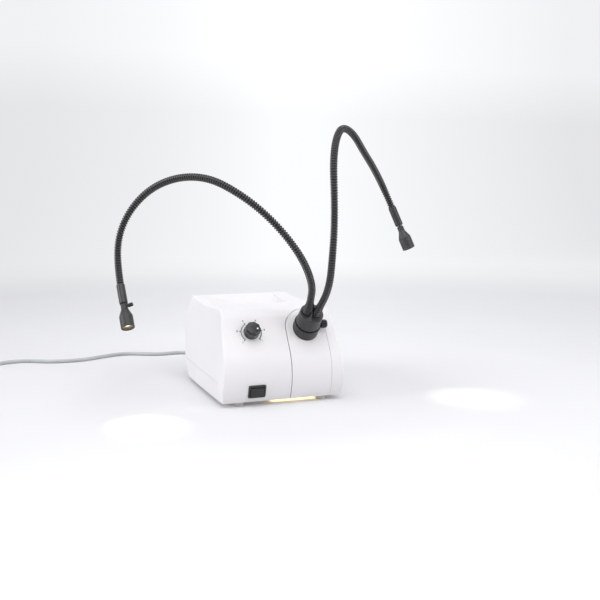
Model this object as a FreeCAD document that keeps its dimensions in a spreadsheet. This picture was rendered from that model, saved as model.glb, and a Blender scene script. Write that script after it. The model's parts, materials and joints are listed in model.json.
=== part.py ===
"""Fibre optic light source with a two-armed gooseneck light guide.

Millimetres.  X runs across the unit (right is +X), Y runs from the front to the back, Z is up.
While it is built, the unit's front bottom edge lies on Y = 0, over the bench at Z = 0.
"""
import FreeCAD
import Part
import math
import os
import re
from types import SimpleNamespace
from FreeCAD import Placement, Rotation, Vector

SIZES = [
    # casing
    ("body_width", 189, "casing width across its front corners, at the bottom"),
    ("side_bulge", 1.5, "how far each side swells out in plan"),
    ("side_lean", 10, "how far each side leans in at the top"),
    ("side_swell", 4.3, "how far each side swells out over its height, at the front corners"),
    ("swell_height", 45, "height where that swelling is widest"),
    ("scoop_front", 42, "Y where the hollow along the top edge of each side begins"),
    ("scoop_depth", 4.5, "how far that hollow reaches down, half way along it"),
    ("scoop_run", 10, "how far that hollow reaches in"),
    ("body_height", 141.5, "top of the casing over the bench, at its front"),
    ("top_rise", 2, "how much higher the top is at its rear edge"),
    ("foot_height", 7, "underside of the casing over the bench"),
    ("belly_depth", 11, "how far the front swells forward of its bottom edge"),
    ("belly_top", 81.7, "height where the belly ends and the sloping front begins"),
    ("brow_radius", 30, "rounding between the sloping front and the top"),
    ("rear_reach", 264, "rearmost point of the casing"),
    ("rear_middle", 80, "height of that rearmost point"),
    ("back_top_run", 36, "how far the rounded back reaches behind the top"),
    ("back_low_run", 50, "how far the rounded back reaches behind the underside"),
    ("rear_top_edge", "=rear_reach - back_top_run", "Y of the edge between the top and the rounded back"),
    ("rear_low_edge", "=rear_reach - back_low_run", "Y of the edge between the underside and the back"),
    ("wall_thick", 3, "thickness of the moulded casing"),
    ("seam_gap", 0.5, "gap along every seam between casing parts"),
    ("left_seam", 1.2, "wider gap at the left edge of the lamp door"),
    ("corner_round", 2.5, "rounding of the casing's front corners"),
    ("seam_height", 35.5, "seam between the base pan and the cover"),
    ("seam_front", 27, "Y where that seam turns down to the front corner"),
    ("lip_start", 2, "Y of the base pan's front edge"),
    # grip recess in the top
    ("grip_front", 101, "Y of the recess's front lip"),
    ("grip_half_front", 44, "half width of the recess at its lip"),
    ("grip_half_rear", 62, "half width of the recess at the back edge"),
    ("grip_depth", 21, "depth of the recess under its lip"),
    # dimmer
    ("dimmer_side", 44.5, "distance of the dimmer's axis from the middle"),
    ("dimmer_drop", 32.8, "from the top of the casing down to the dimmer's axis"),
    ("dimmer_height", "=body_height - dimmer_drop", "height of the dimmer's axis on the skin"),
    ("knob_radius", 13, "dimmer knob"),
    ("knob_height", 13.8, "dimmer knob"),
    ("knob_lift", 0.6, "gap between the knob and the skin"),
    ("spindle_radius", 3, "potentiometer spindle"),
    ("spindle_play", 0.05, "running clearance round the spindle"),
    ("bushing_radius", 4.7, "threaded bushing of the potentiometer"),
    ("nut_radius", 7, "nut on the bushing, across its corners"),
    ("nut_height", 2, "nut on the bushing"),
    ("pot_radius", 11, "potentiometer can"),
    ("pot_depth", 11, "potentiometer can"),
    ("dot_radius", 1.1, "white index dot on the knob"),
    ("dot_offset", 7.5, "distance of the dot from the knob's axis"),
    ("dot_turn", 12, "angle of the dot from +X at rest, in degrees"),
    # rocker switch
    ("switch_side", 43.7, "distance of the switch from the middle"),
    ("switch_height", 24, "height of the switch's centre on the skin"),
    ("bezel_width", 27, "switch bezel"),
    ("bezel_height", 20.6, "switch bezel"),
    ("bezel_thick", 1.8, "switch bezel"),
    ("switch_width", 24, "switch body behind the skin"),
    ("switch_tall", 17.6, "switch body behind the skin"),
    ("switch_depth", 20, "switch body behind the skin"),
    ("rocker_width", 20, "rocker"),
    ("rocker_tall", 13.6, "rocker"),
    ("rocker_thick", 7, "rocker"),
    ("axle_radius", 1.2, "axle of the rocker"),
    ("axle_stub", 1.4, "how far the axle stands out of each side of the rocker"),
    ("rocker_tilt", 8, "tilt of the rocker to each side, in degrees"),
    # lamp drawer with its light port
    ("drawer_middle", 43.2, "X of the lamp drawer and of the light port"),
    ("drawer_half", 31.8, "half width of the lamp door"),
    ("arch_height", 26.8, "rise of the lamp door's arched top"),
    ("port_tilt", 45, "tilt of the port's axis forward from vertical, in degrees"),
    ("port_drop", 30.9, "from the top of the casing down to the port's axis"),
    ("port_height", "=body_height - port_drop", "height of the port on the skin, and foot of the door's arch"),
    ("collar_radius", 20.5, "port collar"),
    ("collar_height", 13, "port collar over the skin"),
    ("collar_neck", 16.5, "radius of the collar's neck through the panel"),
    ("collar_depth", 14, "how far the neck reaches inside"),
    ("guide_radius", 12.5, "ferrule of the light guide"),
    ("guide_play", 0.08, "sliding clearance of the ferrule in the collar"),
    ("clamp_height", 9, "height of the clamp screw along the port's axis"),
    ("clamp_radius", 2, "clamp screw"),
    ("clamp_knob_radius", 6.6, "knob of the clamp screw"),
    ("clamp_knob_length", 11, "knob of the clamp screw"),
    ("clamp_knob_gap", 1, "gap between the collar and that knob"),
    ("clamp_knob_start", "=collar_radius + clamp_knob_gap", "distance of that knob from the port's axis"),
    ("sheet_thick", 1.5, "sheet metal inside the unit"),
    ("tray_level", 12, "underside of the drawer's tray"),
    ("tray_depth", 96, "length of the drawer's tray"),
    ("runner_play", 0.1, "clearance between the tray and its runners"),
    ("runner_width", 4, "runners under the tray"),
    ("runner_spread", 24, "distance of each runner from the drawer's middle"),
    ("lug_radius", 4, "lugs that hold the door to the tray"),
    ("lug_spread", 17, "distance of each lug from the drawer's middle"),
    ("lug_height", 24, "height of the lugs"),
    ("optic_half", 28, "half width of the lamp carrier"),
    ("carrier_place", 28, "distance of the lamp carrier down the port's axis"),
    ("filter_radius", 19.6, "heat filter glass"),
    ("filter_thick", 3, "heat filter glass"),
    ("holder_radius", 23.5, "ring round the heat filter"),
    ("reflector_radius", 25, "reflector lamp"),
    ("reflector_depth", 32, "reflector lamp"),
    ("lamp_neck_radius", 8, "ceramic foot of the reflector lamp"),
    ("capsule_radius", 4.5, "halogen capsule"),
    ("capsule_length", 22, "halogen capsule"),
    ("socket_width", 17, "lamp socket"),
    # light guide
    ("fibre_radius", 4.5, "fibre bundle at the common end"),
    ("bundle_radius", 2.5, "fibre bundle at the end of each arm"),
    ("groove_height", 2.6, "dark groove between the collar and the branching piece"),
    ("groove_radius", 17, "dark groove between the collar and the branching piece"),
    ("branch_base_radius", 19, "branching piece at its foot"),
    ("branch_radius", 18, "branching piece at its top"),
    ("branch_height", 23.4, "branching piece"),
    ("stub_radius", 6.8, "mouth of each stub of the branching piece"),
    ("stub_root_radius", 9.2, "root of each stub"),
    ("stub_length", 24, "each stub"),
    ("stub_spread", 5.6, "distance of each stub's root from the port's axis"),
    ("stub_tilt", 8, "lean of each stub to its side, in degrees"),
    ("arm_radius", 5.5, "gooseneck arm"),
    ("sleeve_radius", 6.25, "smooth sleeve at the end of each arm"),
    ("sleeve_length", 32, "smooth sleeve at the end of each arm"),
    ("sleeve_grip", 20, "how far the arm goes into its sleeve"),
    ("sleeve_play", 0.1, "clearance between the arm and its sleeve"),
    ("tip_radius", 4, "bright tip ferrule of each arm"),
    ("tip_reach", 14, "how far the tip goes into the lens head"),
    ("tip_play", 0.08, "clearance between the tip and the lens head"),
    ("left_head_gap", 0.6, "gap between the left sleeve and its lens head"),
    ("right_head_gap", 2.2, "gap between the right sleeve and its lens head"),
    ("head_neck_radius", 5.15, "neck of the lens head"),
    ("head_neck_length", 7.5, "neck of the lens head"),
    ("head_cone_length", 12, "cone of the lens head"),
    ("head_radius", 10, "barrel of the lens head"),
    ("head_length", 38, "whole lens head"),
    ("head_wall", 1.2, "wall of the lens head's barrel"),
    ("lens_radius", 8.2, "lens, which sits behind a narrower shoulder"),
    ("lens_thick", 3.5, "lens"),
    ("lens_play", 0.3, "gap between the lens and the shoulder in front of it"),
    ("seat_depth", 6.5, "open seat for a filter between the rim and the shoulder"),
    ("thumb_height", 4, "clamp screw below the top of the lens head"),
    ("thumb_radius", 1.4, "clamp screw of the lens head"),
    ("thumb_head_radius", 2.9, "head of that screw"),
    ("thumb_head_length", 7.6, "head of that screw"),
    # rear panel, fan and inlet
    ("panel_half", 78, "half width of the rear panel's recess"),
    ("panel_low", 42, "bottom of the rear panel's recess"),
    ("panel_high", 118, "top of the rear panel's recess"),
    ("panel_inset", 20, "from the rear panel's outer face to the casing's rearmost point"),
    ("panel_face", "=rear_reach - panel_inset", "Y of the rear panel's outer face"),
    ("panel_thick", 2, "rear panel"),
    ("panel_ledge", 2.5, "ledge that the rear panel is screwed to"),
    ("fan_edge", 5, "from the side of the panel's recess to the fan"),
    ("fan_side", "=panel_half - fan_edge - fan_width / 2", "X of the fan's axis"),
    ("fan_height", 80, "height of the fan's axis"),
    ("fan_width", 70, "fan frame"),
    ("fan_depth", 20, "fan frame"),
    ("fan_duct_radius", 32, "opening through the fan frame"),
    ("fan_hub_radius", 14, "fan hub"),
    ("fan_blade_reach", 31, "tip of the fan blades"),
    ("fan_bolt_pitch", 60, "bolt spacing of the fan"),
    ("fan_bolt_radius", 1.9, "fan bolts"),
    ("fan_gap", 2, "gap between the fan's hub and its frame, and thickness of the frame's boss"),
    ("blade_count", 7, "fan blades"),
    ("inlet_edge", 38, "from the side of the panel's recess to the inlet's axis"),
    ("inlet_side", "=panel_half - inlet_edge", "distance of the mains inlet from the middle"),
    ("inlet_height", 74, "height of the mains inlet"),
    ("inlet_width", 27, "mains inlet body"),
    ("inlet_tall", 20, "mains inlet body"),
    ("inlet_depth", 19, "mains inlet body"),
    ("inlet_flange_width", 48, "mains inlet flange"),
    ("inlet_flange_tall", 24, "mains inlet flange"),
    ("inlet_flange_thick", 2.2, "mains inlet flange"),
    # mains lead
    ("coupler_width", 24, "nose of the lead's coupler"),
    ("coupler_tall", 16, "nose of the lead's coupler"),
    ("coupler_step", 4, "how much thicker the coupler's grip is than its nose"),
    ("coupler_nose", 15, "how far the coupler goes into the inlet"),
    ("coupler_grip", 26, "grip of the coupler behind the inlet"),
    ("boot_length", 26, "tapered strain relief"),
    ("boot_radius", 6.2, "root of the strain relief"),
    ("boot_tip_radius", 4.4, "tip of the strain relief"),
    ("lead_radius", 3.5, "mains lead"),
    ("coil_radius", 42, "middle of the coiled turns"),
    ("coil_spread", 10.5, "half width of the bundle of turns, which is three turns wide"),
    ("coil_rise", 14, "height of that bundle, which is two turns high"),
    ("coil_x", -468, "middle of the coil"),
    ("coil_y", 463, "middle of the coil"),
    ("tie_thick", 0.9, "strap round the coil"),
    ("tie_width", 9, "strap round the coil"),
    ("plug_radius", 18, "mains plug"),
    ("plug_length", 34, "mains plug"),
    ("pin_radius", 2.4, "contact pins of the plug"),
    ("pin_length", 19, "contact pins of the plug"),
    ("pin_pitch", 19, "contact pins of the plug"),
    # inside the unit
    ("foot_radius", 7.5, "rubber foot"),
    ("foot_side", 66, "distance of each foot from the middle"),
    ("foot_front", 13, "Y of the front feet"),
    ("foot_inset", 14, "from the underside's rear edge to the rear feet"),
    ("foot_rear", "=rear_low_edge - foot_inset", "Y of the rear feet"),
    ("stem_radius", 3, "stem of a foot through the base pan"),
    ("post_side", 80, "distance of each screw post from the middle"),
    ("post_front", 44, "Y of the front posts"),
    ("post_inset", 18, "from the underside's rear edge to the rear posts"),
    ("post_rear", "=rear_low_edge - post_inset", "Y of the rear posts"),
    ("post_radius", 4, "screw post under the cover"),
    ("screw_radius", 1.5, "casing screws"),
    ("screw_play", 0.1, "clearance round screws and stems"),
    ("screw_length", 24, "casing screws"),
    ("screw_head_radius", 3, "casing screws"),
    ("screw_head_height", 1.8, "casing screws"),
    ("vent_width", 4, "ventilation slots"),
    ("vent_pitch", 8, "ventilation slots"),
    ("vent_length", 62, "ventilation slots under the lamp"),
    ("vent_count", 9, "ventilation slots under the lamp"),
    ("vent_middle", 22, "X of the middle slot"),
    ("vent_start", 14, "Y of the slots' front ends"),
    ("coil_ring_radius", 40, "toroidal transformer"),
    ("coil_ring_bore", 14, "toroidal transformer"),
    ("coil_ring_height", 40, "toroidal transformer"),
    ("transformer_side", 45, "distance of the transformer from the middle"),
    ("bolt_radius", 3, "transformer bolt"),
    ("washer_radius", 24, "dished washer on the transformer"),
    ("pad_thick", 2, "washers and pads inside the unit"),
    ("board_width", 64, "control board"),
    ("board_depth", 56, "control board"),
    ("board_level", 22, "control board over the bench"),
    ("board_thick", 1.6, "control board"),
    ("board_side", 43, "distance of the board's middle from the unit's middle"),
    ("board_inset", 27, "from the underside's rear edge to the board's middle"),
    ("board_place", "=rear_low_edge - board_inset", "Y of the board's middle"),
    ("board_gap", 7, "gap between the board and the transformer"),
    ("transformer_place", "=board_place - board_depth / 2 - board_gap - coil_ring_radius",
     "Y of the transformer"),
    ("spacer_radius", 3, "spacers under the board"),
    ("sink_width", 44, "heat sink"),
    ("sink_depth", 20, "heat sink"),
    ("sink_height", 22, "heat sink"),
    ("sink_fins", 6, "fins of the heat sink"),
    ("baffle_side", 7, "X of the baffle between lamp and electronics"),
    ("baffle_inset", 28, "from the underside's rear edge to the baffle's rear edge"),
    ("baffle_depth", "=rear_low_edge - baffle_inset", "Y of the baffle's rear edge"),
    ("baffle_height", 96, "height of the baffle"),
]

# Bends of each arm, measured from the mouth of its stub; the last point is the end of its sleeve.
LEFT_BENDS = [
    (-6, -25, 28), (-27, -46, 65), (-55, -50, 102), (-86, -40, 136), (-117, -17, 163),
    (-148, 16, 183), (-182, 56, 185), (-216, 94, 169), (-244, 118, 136), (-261, 123, 96),
    (-264, 115, 50), (-261, 82, 0),
]
RIGHT_BENDS = [
    (2, -26, 28), (-2, -46, 73), (-3, -55, 116), (-3, -54, 160), (0, -42, 202), (10, -26, 237),
    (30, -2, 258), (59, 23, 251), (85, 42, 225), (113, 60, 198), (145.5, 84.5, 160.5), (160, 65, 110),
]
# Side of each lens head that its clamp screw is on.
LEFT_THUMB = (0.80, -0.47, 0.36)
RIGHT_THUMB = (0.30, 0.93, -0.10)
# Bends of the mains lead on its way down to the bench, measured from the end of its strain relief.
LEAD_DROP = [(0, 32.8, -2.5), (1, 61.8, -17), (4, 82.8, -40), (9, 102.8, -61)]
# Its route along the bench and into its coil.
LEAD_ROUTE = [
    (-29, 425, 3.5), (-38, 447, 3.5), (-57, 458, 3.5), (-82, 455, 3.5), (-107, 455.5, 3.5),
    (-131, 468.5, 3.5), (-156, 482, 3.5), (-183, 479, 3.5), (-210, 465, 3.5), (-238, 450, 3.5),
    (-264, 443.5, 3.5), (-297, 446, 3.5), (-320, 455, 3.5), (-343, 470, 3.5), (-370, 473.5, 3.5),
    (-395, 464, 3.5), (-421, 446, 3.6), (-438.5, 426.5, 4.4),
]
# Route of the lead's tail, from the top of the coil to the plug.
TAIL_ROUTE = [(-510, 483, 11.4), (-510.6, 510, 11.8), (-512, 537, 14), (-513, 566, 18)]

doc = FreeCAD.newDocument("fibre_light_source")
sheet = doc.addObject("Spreadsheet::Sheet", "Sizes")
pieces = []


def fill_sheet():
    """One row for each driving dimension: what it is, and its value under its alias."""
    for row, (alias, value, note) in enumerate(SIZES, start=1):
        sheet.set(f"A{row}", note)
        sheet.set(f"B{row}", str(value))
        sheet.setAlias(f"B{row}", alias)
    doc.recompute()
    return SimpleNamespace(**{alias: float(sheet.get(alias)) for alias, _, _ in SIZES})


s = fill_sheet()


# ---------------------------------------------------------------- building blocks

def formula(text):
    """An expression on the sheet's aliases, all of which hold an underscore."""
    return re.sub(r"\b[a-z]+_[a-z_]+\b", lambda word: "Sizes." + word.group(0), str(text))


def bind(thing, values):
    """Bind each named property to an expression on the sheet."""
    for name, text in values.items():
        thing.setExpression(name, formula(text))


def keep(thing, label):
    """Give a finished sub-part its name and put it on the list of nodes."""
    thing.Label = label
    pieces.append(thing)
    return thing


def at(origin, z_axis=Vector(0, 0, 1), x_axis=Vector(1, 0, 0)):
    """Placement of a local frame at origin, with the given Z axis and, nearly, the given X axis."""
    z = Vector(*z_axis).normalize()
    y = z.cross(Vector(*x_axis)).normalize()
    x = y.cross(z)
    return Placement(Vector(*origin), Rotation(x, y, z, "ZXY"))


def seated(thing, corner, frame):
    """Put a primitive's origin at a corner given by expressions, in the model's frame or in a tilted one."""
    if frame is None:
        bind(thing, dict(zip(("Placement.Base.x", "Placement.Base.y", "Placement.Base.z"), corner)))
    else:
        thing.Placement = frame * Placement(Vector(*(worth(text) for text in corner)), Rotation())
    return thing


def cylinder(name, radius, height, base=0, x=0, y=0, frame=None):
    thing = doc.addObject("Part::Cylinder", name)
    bind(thing, {"Radius": radius, "Height": height})
    return seated(thing, (x, y, base), frame)


def cone(name, low_radius, high_radius, height, base=0, frame=None):
    thing = doc.addObject("Part::Cone", name)
    bind(thing, {"Radius1": low_radius, "Radius2": high_radius, "Height": height})
    return seated(thing, (0, 0, base), frame)


def block(name, size, corner, frame=None):
    thing = doc.addObject("Part::Box", name)
    bind(thing, {"Length": size[0], "Width": size[1], "Height": size[2]})
    return seated(thing, corner, frame)


def centred(name, width, tall, depth, base=0, frame=None):
    """A block centred on its frame's Z axis."""
    return block(name, (width, tall, depth), (f"-({width}) / 2", f"-({tall}) / 2", base), frame)


def fused(name, things):
    thing = doc.addObject("Part::MultiFuse", name)
    thing.Shapes = things
    return thing


def cut(name, base, tools):
    thing = doc.addObject("Part::Cut", name)
    thing.Base = base
    thing.Tool = tools[0] if len(tools) == 1 else fused(name + "_tools", tools)
    return thing


def grouped(name, things):
    """Several separate solids that are one node."""
    thing = doc.addObject("Part::Compound", name)
    thing.Links = things
    return thing


def outline_sketch(body, name, plane, outline):
    """A closed outline whose every corner is held by two dimensions bound to the sheet."""
    import Sketcher
    sketch = body.newObject("Sketcher::SketchObject", name)
    sketch.AttachmentSupport = next(f for f in body.Origin.OriginFeatures if f.Role == plane)
    sketch.MapMode = "FlatFace"
    flat = [tuple(worth(text) for text in corner) for corner in outline]
    count = len(flat)
    for i in range(count):
        start = Vector(*flat[i], 0)
        end = Vector(*flat[(i + 1) % count], 0)
        sketch.addGeometry(Part.LineSegment(start, end), False)
    for i in range(count):
        sketch.addConstraint(Sketcher.Constraint("Coincident", i, 2, (i + 1) % count, 1))
    for i, corner in enumerate(outline):
        for kind, text, number in zip(("DistanceX", "DistanceY"), corner, flat[i]):
            index = sketch.addConstraint(Sketcher.Constraint(kind, -1, 1, i, 1, number))
            sketch.setExpression(f"Constraints[{index}]", formula(text))
    return sketch


def worth(text):
    """What an expression on the sheet comes to now."""
    return float(sheet.evalExpression(formula(text)))


def turned(name, outline):
    """A body turned round its own Z axis from an outline of (radius, height) corners."""
    body = doc.addObject("PartDesign::Body", name)
    sketch = outline_sketch(body, name + "_outline", "XZ_Plane", outline)
    turn = body.newObject("PartDesign::Revolution", name + "_turn")
    turn.Profile = sketch
    turn.ReferenceAxis = (sketch, ["V_Axis"])
    turn.Angle = 360
    return body


def common(name, things):
    thing = doc.addObject("Part::MultiCommon", name)
    thing.Shapes = things
    return thing


def made(name, shape):
    thing = doc.addObject("Part::Feature", name)
    thing.Shape = shape
    return thing


def spot(y, z):
    return Vector(0, y, z)


def arc_edge(centre, start, end):
    """The shorter arc round centre from start to end."""
    half_way = (start - centre) + (end - centre)
    middle = centre + half_way.normalize() * (start - centre).Length
    return Part.Arc(start, middle, end).toShape()


def polygon_prism(corners, thickness, direction):
    """A straight prism on a flat polygon."""
    outline = [Vector(*corner) for corner in corners]
    face = Part.Face(Part.makePolygon(outline + outline[:1]))
    return face.extrude(Vector(*direction) * thickness)


# ---------------------------------------------------------------- shape of the casing

belly_half = (s.belly_top - s.foot_height) / 2
belly_radius = (belly_half ** 2 + s.belly_depth ** 2) / (2 * s.belly_depth)
belly_centre = spot(belly_radius - s.belly_depth, s.foot_height + belly_half)
slope = math.acos(belly_half / belly_radius)


def front_y(z):
    """Y of the front skin at height z."""
    if z > s.belly_top:
        return (z - s.belly_top) / math.tan(slope)
    return belly_centre.y - math.sqrt(belly_radius ** 2 - (z - belly_centre.z) ** 2)


def front_normal(z):
    """Outward direction of the front skin at height z."""
    if z > s.belly_top:
        return Vector(0, -math.sin(slope), math.cos(slope))
    return (spot(front_y(z), z) - belly_centre).normalize()


def side_view():
    """The casing's outline in the plane Y-Z."""
    foot = spot(0, s.foot_height)
    belly_end = spot(0, s.belly_top)
    run = (s.body_height - s.brow_radius - s.belly_top + s.brow_radius * math.cos(slope)) / math.sin(slope)
    brow_start = belly_end + spot(math.cos(slope), math.sin(slope)) * run
    brow_centre = brow_start + spot(math.sin(slope), -math.cos(slope)) * s.brow_radius
    brow_end = spot(brow_centre.y, s.body_height)
    back_top = spot(s.rear_top_edge, s.body_height + s.top_rise)
    back = spot(s.rear_reach, s.rear_middle)
    back_low = spot(s.rear_low_edge, s.foot_height)

    def back_centre(edge):
        across = s.rear_reach - edge.y
        radius = (across ** 2 + (edge.z - s.rear_middle) ** 2) / (2 * across)
        return spot(s.rear_reach - radius, s.rear_middle)

    return Part.Wire([
        arc_edge(belly_centre, foot, belly_end),
        Part.LineSegment(belly_end, brow_start).toShape(),
        arc_edge(brow_centre, brow_start, brow_end),
        Part.LineSegment(brow_end, back_top).toShape(),
        arc_edge(back_centre(back_top), back_top, back),
        arc_edge(back_centre(back_low), back, back_low),
        Part.LineSegment(back_low, foot).toShape(),
    ])


def half_widths(level):
    """Half the casing's width at its front, its middle and its rear, at one level."""
    lean = s.side_lean * (level - s.foot_height) / (s.body_height - s.foot_height)
    way = level - s.swell_height
    reach = s.swell_height - s.foot_height if way < 0 else s.body_height - s.swell_height
    swell = s.side_swell * (1 - (way / reach) ** 2)
    rear = s.body_width / 2 - lean
    return rear + swell, rear + swell / 2 + s.side_bulge, rear


def beyond_side(way, inset):
    """Everything beyond the right side of the casing, for a way of 1, or the left side."""
    middle = s.rear_reach / 2
    below = [s.foot_height + share * (s.swell_height - s.foot_height) for share in (-0.4, 0, 0.5)]
    above = [s.swell_height + share * (s.body_height - s.swell_height) for share in (0, 0.3, 0.6, 0.9, 1.2)]
    rows = []
    for level in below + above:
        front, widest, rear = (half - inset for half in half_widths(level))
        row = []
        for share in (-1.3, -0.65, 0, 0.65, 1.3):
            half = widest + (rear - front) / 2 * share + ((front + rear) / 2 - widest) * share ** 2
            row.append(Vector(way * half, middle * (1 + share), level))
        rows.append(row)
    surface = Part.BSplineSurface()
    surface.interpolate(rows)
    return surface.toShape().extrude(Vector(way * s.body_width, 0, 0))


def side_scoop(way, inset):
    """A wide disc that hollows the top edge of the right side, for a way of 1, or of the left side."""
    reach = (s.rear_top_edge - s.scoop_front) / 2
    width = math.hypot(s.scoop_run, s.scoop_depth)
    bite = s.scoop_run * s.scoop_depth / width
    radius = (reach ** 2 + bite ** 2) / (2 * bite)
    out = Vector(way * s.scoop_depth, 0, s.scoop_run) / width
    along = Vector(way * s.scoop_run, 0, -s.scoop_depth) / width
    inner = half_widths(s.body_height)[1] - s.scoop_run
    middle = Vector(way * inner, s.rear_top_edge - reach, s.body_height + s.top_rise / 2)
    start = middle + out * radius - along * s.body_width / 2
    return Part.makeCylinder(radius + inset, s.body_width, start, along)


def casing_form(inset):
    """The solid inside the casing's skin, or inside a wall of the given thickness."""
    face = Part.Face(side_view())
    if inset:
        face = face.makeOffset2D(-inset)
    face.translate(Vector(-s.body_width, 0, 0))
    prism = face.extrude(Vector(2 * s.body_width, 0, 0))
    return prism.cut([tool(way, inset) for tool in (beyond_side, side_scoop) for way in (1, -1)])


def front_corners(solid):
    """Edges where the front meets the sides."""
    limit = 0.4 * s.body_width
    for edge in solid.Edges:
        middle = edge.CenterOfMass
        if abs(middle.x) > limit and middle.y < s.brow_radius and middle.z > s.foot_height + 1:
            yield edge


outside_shape = casing_form(0)
outside = made("casing_outside", outside_shape.makeFillet(s.corner_round, list(front_corners(outside_shape))))
inside = made("casing_inside", casing_form(s.wall_thick))
shell = cut("casing_shell", outside, [inside])
span = s.body_width
floor_top = s.foot_height + s.wall_thick


def base_region(drop):
    """Everything under the seam between the base pan and the cover, moved down and back by drop."""
    corners = [
        (-span, s.lip_start, -s.foot_height), (-span, s.lip_start, s.foot_height),
        (-span, s.seam_front, s.seam_height), (-span, 2 * s.rear_reach, s.seam_height),
        (-span, 2 * s.rear_reach, -s.foot_height),
    ]
    shape = polygon_prism(corners, 2 * span, (1, 0, 0))
    shape.translate(Vector(0, drop, -drop))
    return shape


def arch_prism(left_growth, growth):
    """The arched outline of the lamp door, carried straight through the front."""
    left = s.drawer_middle - s.drawer_half - left_growth
    right = s.drawer_middle + s.drawer_half + growth
    middle = (left + right) / 2
    start = -2 * s.belly_depth
    flat = Vector(middle, start, s.port_height)
    major = (right - left) / 2
    minor = s.arch_height + growth
    top = flat + Vector(0, 0, minor)
    long_way, short_way = ((major, Vector(major, 0, 0)), (minor, Vector(0, 0, minor)))
    if major > minor:
        curve = Part.Ellipse(flat + long_way[1], top, flat)
        arch = Part.Arc(curve, 0, math.pi)
    else:
        curve = Part.Ellipse(top, flat + long_way[1], flat)
        arch = Part.Arc(curve, -math.pi / 2, math.pi / 2)
    edge = arch.toShape()
    ends = sorted((v.Point for v in edge.Vertexes), key=lambda point: point.x)
    low = [Vector(point.x, start, -s.foot_height) for point in ends]
    wire = Part.Wire([
        edge,
        Part.LineSegment(ends[0], low[0]).toShape(),
        Part.LineSegment(low[0], low[1]).toShape(),
        Part.LineSegment(low[1], ends[1]).toShape(),
    ])
    return Part.Face(wire).extrude(Vector(0, 2 * s.belly_depth + 2 * s.brow_radius, 0))


def grip_form(growth):
    """The tapering recess in the top, whose floor runs down from the back edge to the front lip."""
    front = s.grip_front - growth
    rear = s.rear_top_edge
    rise = s.foot_height
    mouth = s.grip_half_front + growth
    end = s.grip_half_rear + growth
    half_way = (front + rear + rise) / 2
    flares = []
    for way in (-1, 1):
        flare = Part.BezierCurve()
        flare.setPoles([Vector(way * x, y, 0) for x, y in ((mouth, front), (mouth, half_way), (end, rear + rise))])
        flares.append(flare.toShape())
    lines = [Part.LineSegment(*(flare.Vertexes[index].Point for flare in flares)).toShape() for index in (0, -1)]
    plan = Part.Face(Part.Wire(Part.__sortEdges__(flares + lines)))
    top = s.body_height + s.top_rise
    side = [
        (-span, front, top + rise), (-span, front, s.body_height - s.grip_depth - growth),
        (-span, rear, top - growth), (-span, rear + rise, top - growth), (-span, rear + rise, top + rise),
    ]
    return plan.extrude(Vector(0, 0, 2 * s.body_height)).common(polygon_prism(side, 2 * span, (1, 0, 0)))


dial_place = Vector(-s.dimmer_side, front_y(s.dimmer_height), s.dimmer_height)
dial = at(dial_place, front_normal(s.dimmer_height))
switch_place = Vector(-s.switch_side, front_y(s.switch_height), s.switch_height)
switch = at(switch_place, front_normal(s.switch_height))
port_way = Vector(0, -math.sin(math.radians(s.port_tilt)), math.cos(math.radians(s.port_tilt)))
port = at((s.drawer_middle, front_y(s.port_height), s.port_height), port_way)
fan = at((s.fan_side, s.panel_face - s.panel_thick, s.fan_height), (0, 1, 0), (-1, 0, 0))
inlet = at((-s.inlet_side, s.panel_face, s.inlet_height), (0, 1, 0), (-1, 0, 0))


def placed(thing, frame):
    """Carry a piece that was built round its own origin to its frame."""
    thing.Placement = frame
    return thing


# ---------------------------------------------------------------- casing

def four(name, build, side, front, rear):
    """A copy at each corner of the casing, at side x and at front or rear y."""
    copies = []
    for number, (x, y) in enumerate(((1, front), (-1, front), (1, rear), (-1, rear))):
        copies.append(build(f"{name}_{number}", f"{x} * {side}", y))
    return copies


def upper_cover():
    seam = made("cover_seam", base_region(0))
    skin = cut("cover_skin", shell, [seam])
    liner = made("grip_liner", grip_form(s.wall_thick))
    posts = four(
        "post",
        lambda n, x, y: cylinder(n, "post_radius", "body_height", "foot_height + wall_thick + seam_gap", x, y),
        "post_side", "post_front", "post_rear")
    frame = block(
        "panel_frame",
        ("2 * (panel_half + wall_thick)", "rear_reach - panel_face + panel_thick + panel_ledge",
         "panel_high - panel_low + 2 * wall_thick"),
        ("-panel_half - wall_thick", "panel_face - panel_thick - panel_ledge", "panel_low - wall_thick"))
    extras = common("cover_extras", [outside, fused("cover_ribs", [liner, frame] + posts)])
    tools = [
        made("grip_recess", grip_form(0)),
        made("door_opening", arch_prism(s.left_seam, s.seam_gap)),
        block("panel_recess", ("2 * panel_half", "rear_reach", "panel_high - panel_low"),
              ("-panel_half", "panel_face - panel_thick", "panel_low")),
        block("panel_opening",
              ("2 * (panel_half - panel_ledge)", "rear_reach", "panel_high - panel_low - 2 * panel_ledge"),
              ("-panel_half + panel_ledge", "panel_face - 2 * grip_depth", "panel_low + panel_ledge")),
        cylinder("dimmer_hole", "bushing_radius + screw_play", "4 * wall_thick", "-3 * wall_thick", frame=dial),
        centred("switch_hole", "switch_width + 2 * screw_play", "switch_tall + 2 * screw_play",
                "4 * wall_thick", "-3 * wall_thick", switch),
    ]
    tools += four(
        "pilot", lambda n, x, y: cylinder(n, "screw_radius + screw_play", "screw_length", "foot_height", x, y),
        "post_side", "post_front", "post_rear")
    body = fused("cover_body", [skin, extras])
    keep(cut("cover", body, tools), "upper_cover")
    return skin


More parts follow.
